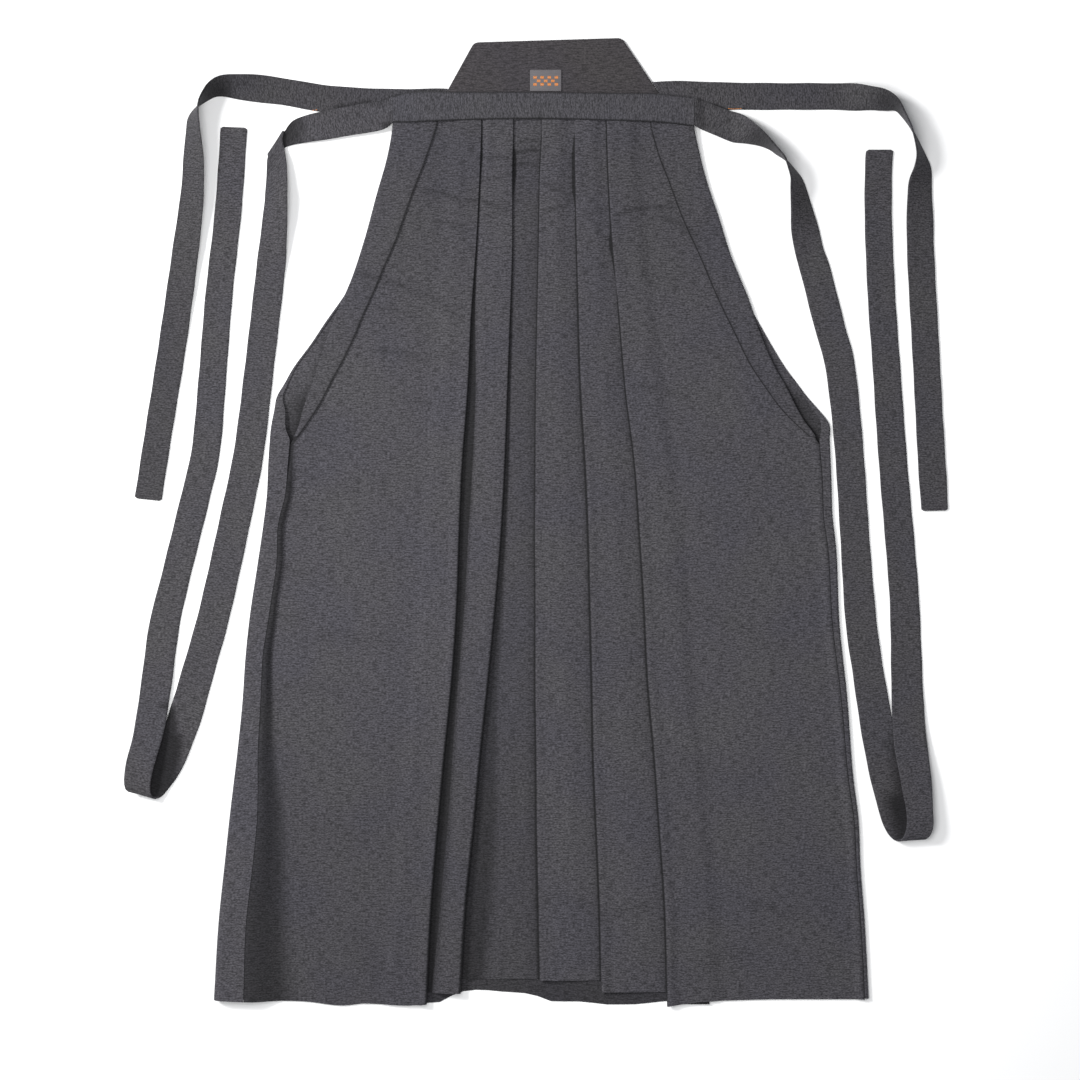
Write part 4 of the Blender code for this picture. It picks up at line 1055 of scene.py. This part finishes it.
def new_tree(name, result, *inputs):
    """A tree with these inputs, a function that adds nodes to it, and what its inputs give."""
    tree = bpy.data.node_groups.new(name, "GeometryNodeTree")
    for title, kind, value in inputs:
        socket = tree.interface.new_socket(title, in_out="INPUT", socket_type="NodeSocket" + kind)
        if value is not None:
            socket.default_value = value
    tree.interface.new_socket(result, in_out="OUTPUT", socket_type="NodeSocketGeometry")
    put = node_maker(tree)
    return tree, put, put("NodeGroupInput", output=None)


def bake(name, source, tree, values):
    """Run a Geometry Nodes tree on an object and keep the result as a plain mesh."""
    modifier = source.modifiers.new("Nodes", "NODES")
    modifier.node_group = tree
    for item in tree.interface.items_tree:
        if item.item_type == "SOCKET" and item.in_out == "INPUT" and item.name in values:
            modifier[item.identifier] = values[item.name]
    evaluated = source.evaluated_get(bpy.context.evaluated_depsgraph_get())
    mesh = bpy.data.meshes.new_from_object(evaluated)
    mesh.name = name
    source.modifiers.remove(modifier)
    bpy.data.objects.remove(source, do_unlink=True)
    return add_object(name, mesh)


def thread_along_x(put, length, width):
    """One thread as a small ball drawn out along X."""
    ball = put("GeometryNodeMeshUVSphere", {"Segments": 6, "Rings": 4, "Radius": 0.5})
    size = put("ShaderNodeCombineXYZ", {"X": length, "Y": width, "Z": width})
    return put("GeometryNodeTransform", {"Geometry": ball, "Scale": size})

# %% The tree for a row of stitches
def stitch_tree():
    tree, put, given = new_tree("Row of stitches", "Stitches", ("Line", "Geometry", None),
                                ("Spacing", "Float", 0.003), ("Stitch length", "Float", 0.002),
                                ("Thread width", "Float", 0.0004), ("Thread", "Material", None))
    line = put("GeometryNodeMeshToCurve", {"Mesh": given["Line"]})
    points = put("GeometryNodeCurveToPoints", {"Curve": line, "Length": given["Spacing"]}, None,
                 mode="LENGTH")
    turned = put("FunctionNodeAlignRotationToVector", {"Vector": points["Tangent"]}, axis="X")
    thread = thread_along_x(put, given["Stitch length"], given["Thread width"])
    placed = put("GeometryNodeInstanceOnPoints",
                 {"Points": points["Points"], "Instance": thread, "Rotation": turned})
    real = put("GeometryNodeRealizeInstances", {"Geometry": placed})
    finished = put("GeometryNodeSetMaterial", {"Geometry": real, "Material": given["Thread"]})
    put("NodeGroupOutput", {"Stitches": finished}, None)
    return tree

# %% The tree for the label's woven check
def check_tree():
    tree, put, given = new_tree("Woven check", "Check", ("Holder", "Geometry", None),
                                ("Width", "Float", 0.02), ("Height", "Float", 0.01),
                                ("Square", "Float", 0.003), ("Thread width", "Float", 0.0006),
                                ("Place", "Vector", (0.0, 0.0, 0.0)), ("Thread", "Material", None))
    width, height, square = given["Width"], given["Height"], given["Square"]

    def math_of(operation, a, b):
        return put("ShaderNodeMath", {0: a, 1: b}, operation=operation)

    grid = put("GeometryNodeMeshGrid",
               {"Size X": width, "Size Y": math_of("SUBTRACT", height, square),
                "Vertices X": math_of("DIVIDE", width, given["Thread width"]),
                "Vertices Y": math_of("DIVIDE", height, square)})
    whole_size = put("ShaderNodeCombineXYZ", {"X": width, "Y": height})
    from_corner = put("ShaderNodeVectorMath",
                      {0: whole_size, 1: (0.5, 0.5, 0.0), 2: put("GeometryNodeInputPosition")},
                      operation="MULTIPLY_ADD")
    in_squares = put("ShaderNodeVectorMath",
                     {0: from_corner, "Scale": math_of("DIVIDE", 0.999, square)}, operation="SCALE")
    counted = put("ShaderNodeVectorMath", {0: in_squares}, operation="FLOOR")
    parts = put("ShaderNodeSeparateXYZ", {"Vector": counted}, None)
    odd = math_of("MODULO", math_of("ADD", parts["X"], parts["Y"]), 2.0)
    chosen = put("FunctionNodeCompare", {0: odd, 1: 0.5}, operation="LESS_THAN")
    thread = thread_along_x(put, square, given["Thread width"])
    placed = put("GeometryNodeInstanceOnPoints",
                 {"Points": grid, "Selection": chosen, "Instance": thread,
                  "Rotation": (0.0, 0.0, math.pi / 2)})
    real = put("GeometryNodeRealizeInstances", {"Geometry": placed})
    moved = put("GeometryNodeTransform", {"Geometry": real, "Translation": given["Place"]})
    finished = put("GeometryNodeSetMaterial", {"Geometry": moved, "Material": given["Thread"]})
    put("NodeGroupOutput", {"Check": finished}, None)
    return tree


row_of_stitches = stitch_tree()
woven_check = check_tree()
print("stitch trees:", row_of_stitches.name, "and", woven_check.name)

# %% [markdown]
# ## Finishes
#
# The cloth is a plain weave of polyester spun to look like wool. Its yarn is mixed from dark and
# light fibres before it is spun, so the weave shows short streaks along the weft and no even
# colour. It is matt, with a slight bloom where light grazes it. Colours are written as sRGB hex
# values, and one function turns them to the linear values that a shader needs.

# %% Colours and materials
def colour(hex_value):
    """Linear RGBA of an sRGB hex value such as 4b4b50."""
    parts = [int(hex_value[i:i + 2], 16) / 255 for i in (0, 2, 4)]
    linear = [p / 12.92 if p <= 0.04045 else ((p + 0.055) / 1.055) ** 2.4 for p in parts]
    return (*linear, 1.0)


def new_material(name):
    """An empty material, and a function that adds nodes to it."""
    made = bpy.data.materials.new(name)
    made.use_nodes = True
    made.node_tree.nodes.clear()
    return made, node_maker(made.node_tree)


def finish_material(put, settings):
    shader = put("ShaderNodeBsdfPrincipled", settings)
    put("ShaderNodeOutputMaterial", {"Surface": shader}, None)


def mix(put, factor, a, b, blend="MIX"):
    return put("ShaderNodeMix", {"Factor": factor, 6: a, 7: b}, 2,
               data_type="RGBA", blend_type=blend)


def scaled_to(put, value, low, high, limits=(0.0, 1.0)):
    """The value, from low to high where it goes from one of its limits to the other."""
    return put("ShaderNodeMapRange", {"Value": value, "From Min": limits[0],
                                      "From Max": limits[1], "To Min": low, "To Max": high})


def drawn_out(put, uv, along, across, detail=1.0, roughness=0.6):
    """Noise whose grain is so many millimetres long and wide on the cloth."""
    scaled = put("ShaderNodeMapping", {"Vector": uv, "Scale": (1000 / along, 1000 / across, 1.0)})
    return put("ShaderNodeTexNoise", {"Vector": scaled, "Scale": 1.0, "Detail": detail,
                                      "Roughness": roughness}, noise_dimensions="2D")


print("charcoal is", [round(c, 3) for c in colour("4b4b50")])

# %% [markdown]
# One function makes every version of the cloth. The yarn's streaks are noise that is drawn out
# along U: fine ones about 2 by 1 mm, and now and then a darker slub about 9 mm long. Real
# threads are half a millimetre apart, too fine to show from above, so the weave itself is only
# in the bump. Slow changes of colour over 60 to 150 mm come from Object coordinates, so that
# they run on from one piece of cloth to the next. The colour is also darkened by the shade
# painted on each point as an attribute, deep in folds, under turns and beside creases.

# %% Heathered cloth
STREAK = (2.3, 1.2)          # length and width of the fine streaks, in mm
SLUB = (9.0, 1.4)            # of the slubs
THREADS = (1.1, 0.9)         # of the weave's bumps
STREAK_SPREAD = 0.28         # of the streaks' noise to each side of 0.5, from dark to light
SLUB_NOISE = (0.34, 0.54)    # the noise from which a slub fades in and out
SLUB_TONE = (0.6, 1.06)      # what a slub multiplies the colour by, and what the rest does
CLOUDS = ((0.36, "f2f1fa"), (0.5, "f6f4f9"), (0.64, "faf9fa"))
DEEPEST = 0.22               # how much of the colour is left under the deepest painted shade


def heathered_cloth(name, dark, light, contrast):
    made, put = new_material(name)
    uv = put("ShaderNodeUVMap", uv_map="UVMap")
    place = put("ShaderNodeTexCoord", output="Object")
    fine = drawn_out(put, uv, *STREAK)
    slubs = drawn_out(put, uv, *SLUB)
    spread = STREAK_SPREAD / contrast
    yarn = scaled_to(put, fine, 0.0, 1.0, (0.5 - spread, 0.5 + spread))
    slub = scaled_to(put, slubs, *SLUB_TONE, SLUB_NOISE)
    darker = mix(put, 1.0, mix(put, yarn, colour(dark), colour(light)), slub, "MULTIPLY")
    clouds = put("ShaderNodeTexNoise", {"Vector": place, "Scale": 12.0, "Detail": 2.0})
    tones = put("ShaderNodeValToRGB", {"Fac": clouds})
    ramp = tones.node.color_ramp
    ramp.elements.new(CLOUDS[1][0])
    for element, (spot, tone) in zip(ramp.elements, CLOUDS):
        element.position, element.color = spot, colour(tone)
    tinted = mix(put, 1.0, darker, tones, "MULTIPLY")
    # Painted shade: the colour is darkened by the shade attribute painted on the points
    depth = put("ShaderNodeAttribute", output="Fac", attribute_name="painted_shade")
    with_painted_shade = mix(put, 1.0, tinted, scaled_to(put, depth, 1.0, DEEPEST), "MULTIPLY")
    height = put("ShaderNodeMath", {0: fine, 1: drawn_out(put, uv, *THREADS, 0.0)}, operation="ADD")
    bump = put("ShaderNodeBump", {"Strength": 0.35, "Distance": 0.0004, "Height": height})
    finish_material(put, {"Base Color": with_painted_shade, "Roughness": scaled_to(put, fine, 0.78, 0.92),
                          "Normal": bump, "Specular IOR Level": 0.25, "Sheen Weight": 0.06,
                          "Sheen Roughness": 0.5, "Sheen Tint": colour("b8b8c0")})
    return made


panel_cloth = heathered_cloth("Wool-look polyester, plain weave", "28272a", "555457", 1.0)
band_cloth = heathered_cloth("Wool-look polyester, folded band", "29292b", "525154", 1.0)
strap_cloth = heathered_cloth("Wool-look polyester, folded strap", "272628", "525153", 1.05)
board_cloth = heathered_cloth("Wool-look polyester, stretched on board", "2c2a2b", "474445", 1.05)
print("cloths:", [m.name for m in (panel_cloth, band_cloth, strap_cloth, board_cloth)])

# %% [markdown]
# The label is a dense satin of finer yarn, smoother and a little shiny, with ribs that run from
# side to side. Its check and the sewing threads are glossy polyester filament.

# %% Label satin and threads
RIB = (1000 / 120, 0.7)      # length and width of the satin's ribs, in mm


def satin(name, base_colour):
    made, put = new_material(name)
    uv = put("ShaderNodeUVMap", uv_map="UVMap")
    ribs = drawn_out(put, uv, *RIB, 2.0, 0.5)
    mixed = mix(put, 1.0, colour(base_colour), scaled_to(put, ribs, 0.7, 1.3), "MULTIPLY")
    bump = put("ShaderNodeBump", {"Strength": 0.4, "Distance": 0.0002, "Height": ribs})
    finish_material(put, {"Base Color": mixed, "Roughness": 0.55, "Normal": bump,
                          "Sheen Weight": 0.1})
    return made


def filament(name, base_colour):
    made, put = new_material(name)
    place = put("ShaderNodeTexCoord", output="Object")
    strands = put("ShaderNodeTexNoise", {"Vector": place, "Scale": 2600.0, "Detail": 1.0})
    mixed = mix(put, 1.0, colour(base_colour), scaled_to(put, strands, 0.8, 1.2), "MULTIPLY")
    finish_material(put, {"Base Color": mixed, "Roughness": 0.4, "Sheen Weight": 0.2})
    return made


label_satin = satin("Woven polyester satin", "535053")
orange_thread = filament("Polyester filament, orange", "c9781e")
grey_thread = filament("Polyester filament, grey", "5e5b60")
charcoal_thread = filament("Polyester filament, charcoal", "3c3c40")
print("threads:", [m.name for m in (label_satin, orange_thread, grey_thread, charcoal_thread)])

# %% [markdown]
# Now the stitches can be laid: round the label, along the inner folds of the side bands, where
# tiny blind stitches hold them down, and one orange tack on each pair of straps.

# %% Lay the stitches
def line_object(points):
    mesh = bpy.data.meshes.new("line")
    edges = [(i, i + 1) for i in range(len(points) - 1)]
    mesh.from_pydata((np.array(points, float) * MM).tolist(), edges, [])
    return add_object("line", mesh)


def stitches(name, points, spacing, length, width, thread):
    return bake(name, line_object(points), row_of_stitches,
                {"Spacing": spacing * MM, "Stitch length": length * MM, "Thread width": width * MM,
                 "Thread": thread})


def blind_line(sign, opening):
    """A line on top of a side band, just outside its inner fold."""
    points = []
    for y in np.linspace(405, 100, 62):
        x = sign * (opening.at("front", y) - opening.at("band", y) + 0.7)
        raised = float(crease_height(np.array([x]), np.array([y]), CREASES, SWELLS)[0])
        points.append((x, y, base(y) + PITCH + WALL / 2 + raised))
    return points


TACK_HEIGHT = 0.15     # from a strap's face up to the middle of a tack


def lay_on(piece, places):
    """Places on top of a piece, found by looking straight down on it."""
    bpy.context.view_layer.update()
    found = []
    for x, y in places:
        hit, place, _, _ = piece.ray_cast(Vector((x * MM, y * MM, 0.1)), Vector((0, 0, -1)))
        found.append((x, y, place.z / MM + TACK_HEIGHT if hit else 2.0))
    return found


FINE_THREAD = 0.35     # width of a thread
TACK_THREAD = 0.7
LABEL_MARGIN = 1.1     # from the label's edge to its stitches
CHECK_BELOW = 0.6      # from the label's middle down to the middle of its check
label_top = LABEL_Z + 1.0
edge = [(x + (LABEL_MARGIN if x == label_x0 else -LABEL_MARGIN),
         y + (LABEL_MARGIN if y == label_y0 else -LABEL_MARGIN), label_top)
        for x, y in label_corners + label_corners[:1]]
label_stitches = stitches("label_stitches", edge, 1.9, 1.5, FINE_THREAD, grey_thread)
blind_left, blind_right = (
    stitches(name, blind_line(sign, opening), 7.0, 1.1, FINE_THREAD, charcoal_thread)
    for name, sign, opening in (("side_band_left_stitches", -1, LEFT_OPENING),
                                ("side_band_right_stitches", 1, RIGHT_OPENING)))
check_place = ((label_x0 + label_x1) / 2 * MM, ((label_y0 + label_y1) / 2 - CHECK_BELOW) * MM,
               label_top * MM)
label_check = bake("label_check", line_object([(0, 0, 0), (1, 0, 0)]), woven_check,
                   {"Width": 0.0252, "Height": 0.0108, "Square": 0.0036, "Thread width": 0.00045,
                    "Place": check_place, "Thread": orange_thread})
tack_right, tack_left = (
    stitches(name, lay_on(piece, places), 2.2, length, TACK_THREAD, orange_thread)
    for name, piece, places, length in (
        ("tack_thread_right", rear_strap_right,
         [(198, 426.2), (202, 425.9), (206, 426.0), (210, 426.4)], 2.6),
        ("tack_thread_left", rear_strap_left, [(-230.5, 424.6), (-227.5, 424.9)], 2.4)))
print("stitch faces:", [len(o.data.polygons) for o in (label_stitches, blind_left, blind_right,
                                                       label_check, tack_right, tack_left)])

# %% [markdown]
# ## Finish the garment
#
# Each cloth gets its material, rides on the one body, and stands for its solid in the frame.
# The table also lists the size each was cut to before it was pleated or folded.

# %% Materials and bodies
PIECES = (
    # piece, solid, slot, material, cut width, cut length, cut area, what it rests on
    (back_left, "back_left", "cloth", panel_cloth, 0.38, 0.906, 0.26, []),
    (back_right, "back_right", "cloth", panel_cloth, 0.36, 0.906, 0.26, []),
    (front_left, "front_left", "cloth", panel_cloth, 0.47, 0.922, 0.37, ["back_left"]),
    (front_right, "front_right", "cloth", panel_cloth, 0.59, 0.922, 0.45, ["back_right"]),
    (side_band_left, "side_band_left", "cloth", panel_cloth, 0.05, 0.37, 0.0112, ["front_left"]),
    (side_band_right, "side_band_right", "cloth", panel_cloth, 0.05, 0.4, 0.0128, ["front_right"]),
    (band, "front_band", "strap_cloth", band_cloth, 0.06, 0.31, None,
     ["front_left", "front_right"]),
    (rear_strap_left, "rear_strap_left", "strap_cloth", strap_cloth, 0.0288,
     rear_left_length * MM, None, []),
    (rear_strap_right, "rear_strap_right", "strap_cloth", strap_cloth, 0.028,
     rear_right_length * MM, None, []),
    (front_strap_left, "front_strap_left", "strap_cloth", strap_cloth, 0.0295,
     front_left_length * MM, None, ["front_left"]),
    (front_strap_right, "front_strap_right", "strap_cloth", strap_cloth, 0.0295,
     front_right_length * MM, None, ["front_right"]),
    (label, "label", "label", label_satin, 0.0324, 0.0221, None, ["back_board"]),
)
for piece, solid, slot, material, cut_width, cut_length, cut_area, rests in PIECES:
    piece.data.materials.append(material)
    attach(piece, "root")
    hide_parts(solid)
    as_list(rests)
board.data.materials.append(board_cloth)
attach(board, "root")
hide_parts("back_board")
THREADWORK = ((label_stitches, "label"), (label_check, "label"), (blind_left, "cloth"),
              (blind_right, "cloth"), (tack_right, "label"), (tack_left, "label"))
for piece, slot in THREADWORK:
    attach(piece, "root")
print("pieces:", len(PIECES) + 1 + len(THREADWORK))

# %% [markdown]
# ## Table, light and camera
#
# The garment is seen from straight above on a pale table. A long lens keeps the straps and the
# hems in nearly the same scale. One fairly low light from the upper left draws the folds and
# the loops, and a wide overhead light and a pale sky fill the shadows.

# %% Table and lights
TABLE_HALF = 6.0   # half the table's side, in metres


def pale_table():
    mesh = bpy.data.meshes.new("table")
    corners = [(TABLE_HALF * x, TABLE_HALF * y, 0) for x, y in ((-1, -1), (1, -1), (1, 1), (-1, 1))]
    mesh.from_pydata(corners, [], [(0, 1, 2, 3)])
    made = add_object("table", mesh)
    paint, put = new_material("Matt white paint")
    finish_material(put, {"Base Color": colour("f8f8f8"), "Roughness": 0.9,
                          "Specular IOR Level": 0.2})
    mesh.materials.append(paint)


def soft_light(name, place, aim, size, power):
    lamp = bpy.data.lights.new(name, "AREA")
    lamp.shape = "SQUARE"
    lamp.size = size
    lamp.energy = power
    made = add_object(name, lamp)
    made.location = place
    made.rotation_euler = (Vector(aim) - Vector(place)).to_track_quat("-Z", "Y").to_euler()


pale_table()
soft_light("key", (-1.7, 0.85, 1.7), (0, 0, 0), 0.65, 62)
soft_light("fill", (-0.2, -0.1, 1.5), (-0.1, -0.05, 0), 0.9, 17)
world = bpy.data.worlds.new("Pale room")
bpy.context.scene.world = world
world.use_nodes = True
background = world.node_tree.nodes["Background"]
background.inputs["Color"].default_value = colour("f4f6fa")
background.inputs["Strength"].default_value = 0.3
bpy.context.scene.view_settings.view_transform = "Standard"
print("lights: key, fill and a pale room")

# %% Camera
CAMERA_AT = (0.0031, -0.0185)   # the middle of the view on the table, in metres
VIEW_SIDE = 1.1124              # the side of the square that is seen
LENS = 85.0
GARMENT_TOP = 0.005             # the camera's distance is kept from this height
lens = bpy.data.cameras.new("camera")
lens.lens = LENS
camera = add_object("camera", lens)
camera.location = (*CAMERA_AT, VIEW_SIDE * LENS / lens.sensor_width + GARMENT_TOP)
bpy.context.scene.camera = camera
print("camera %.2f m above the table" % camera.location.z)
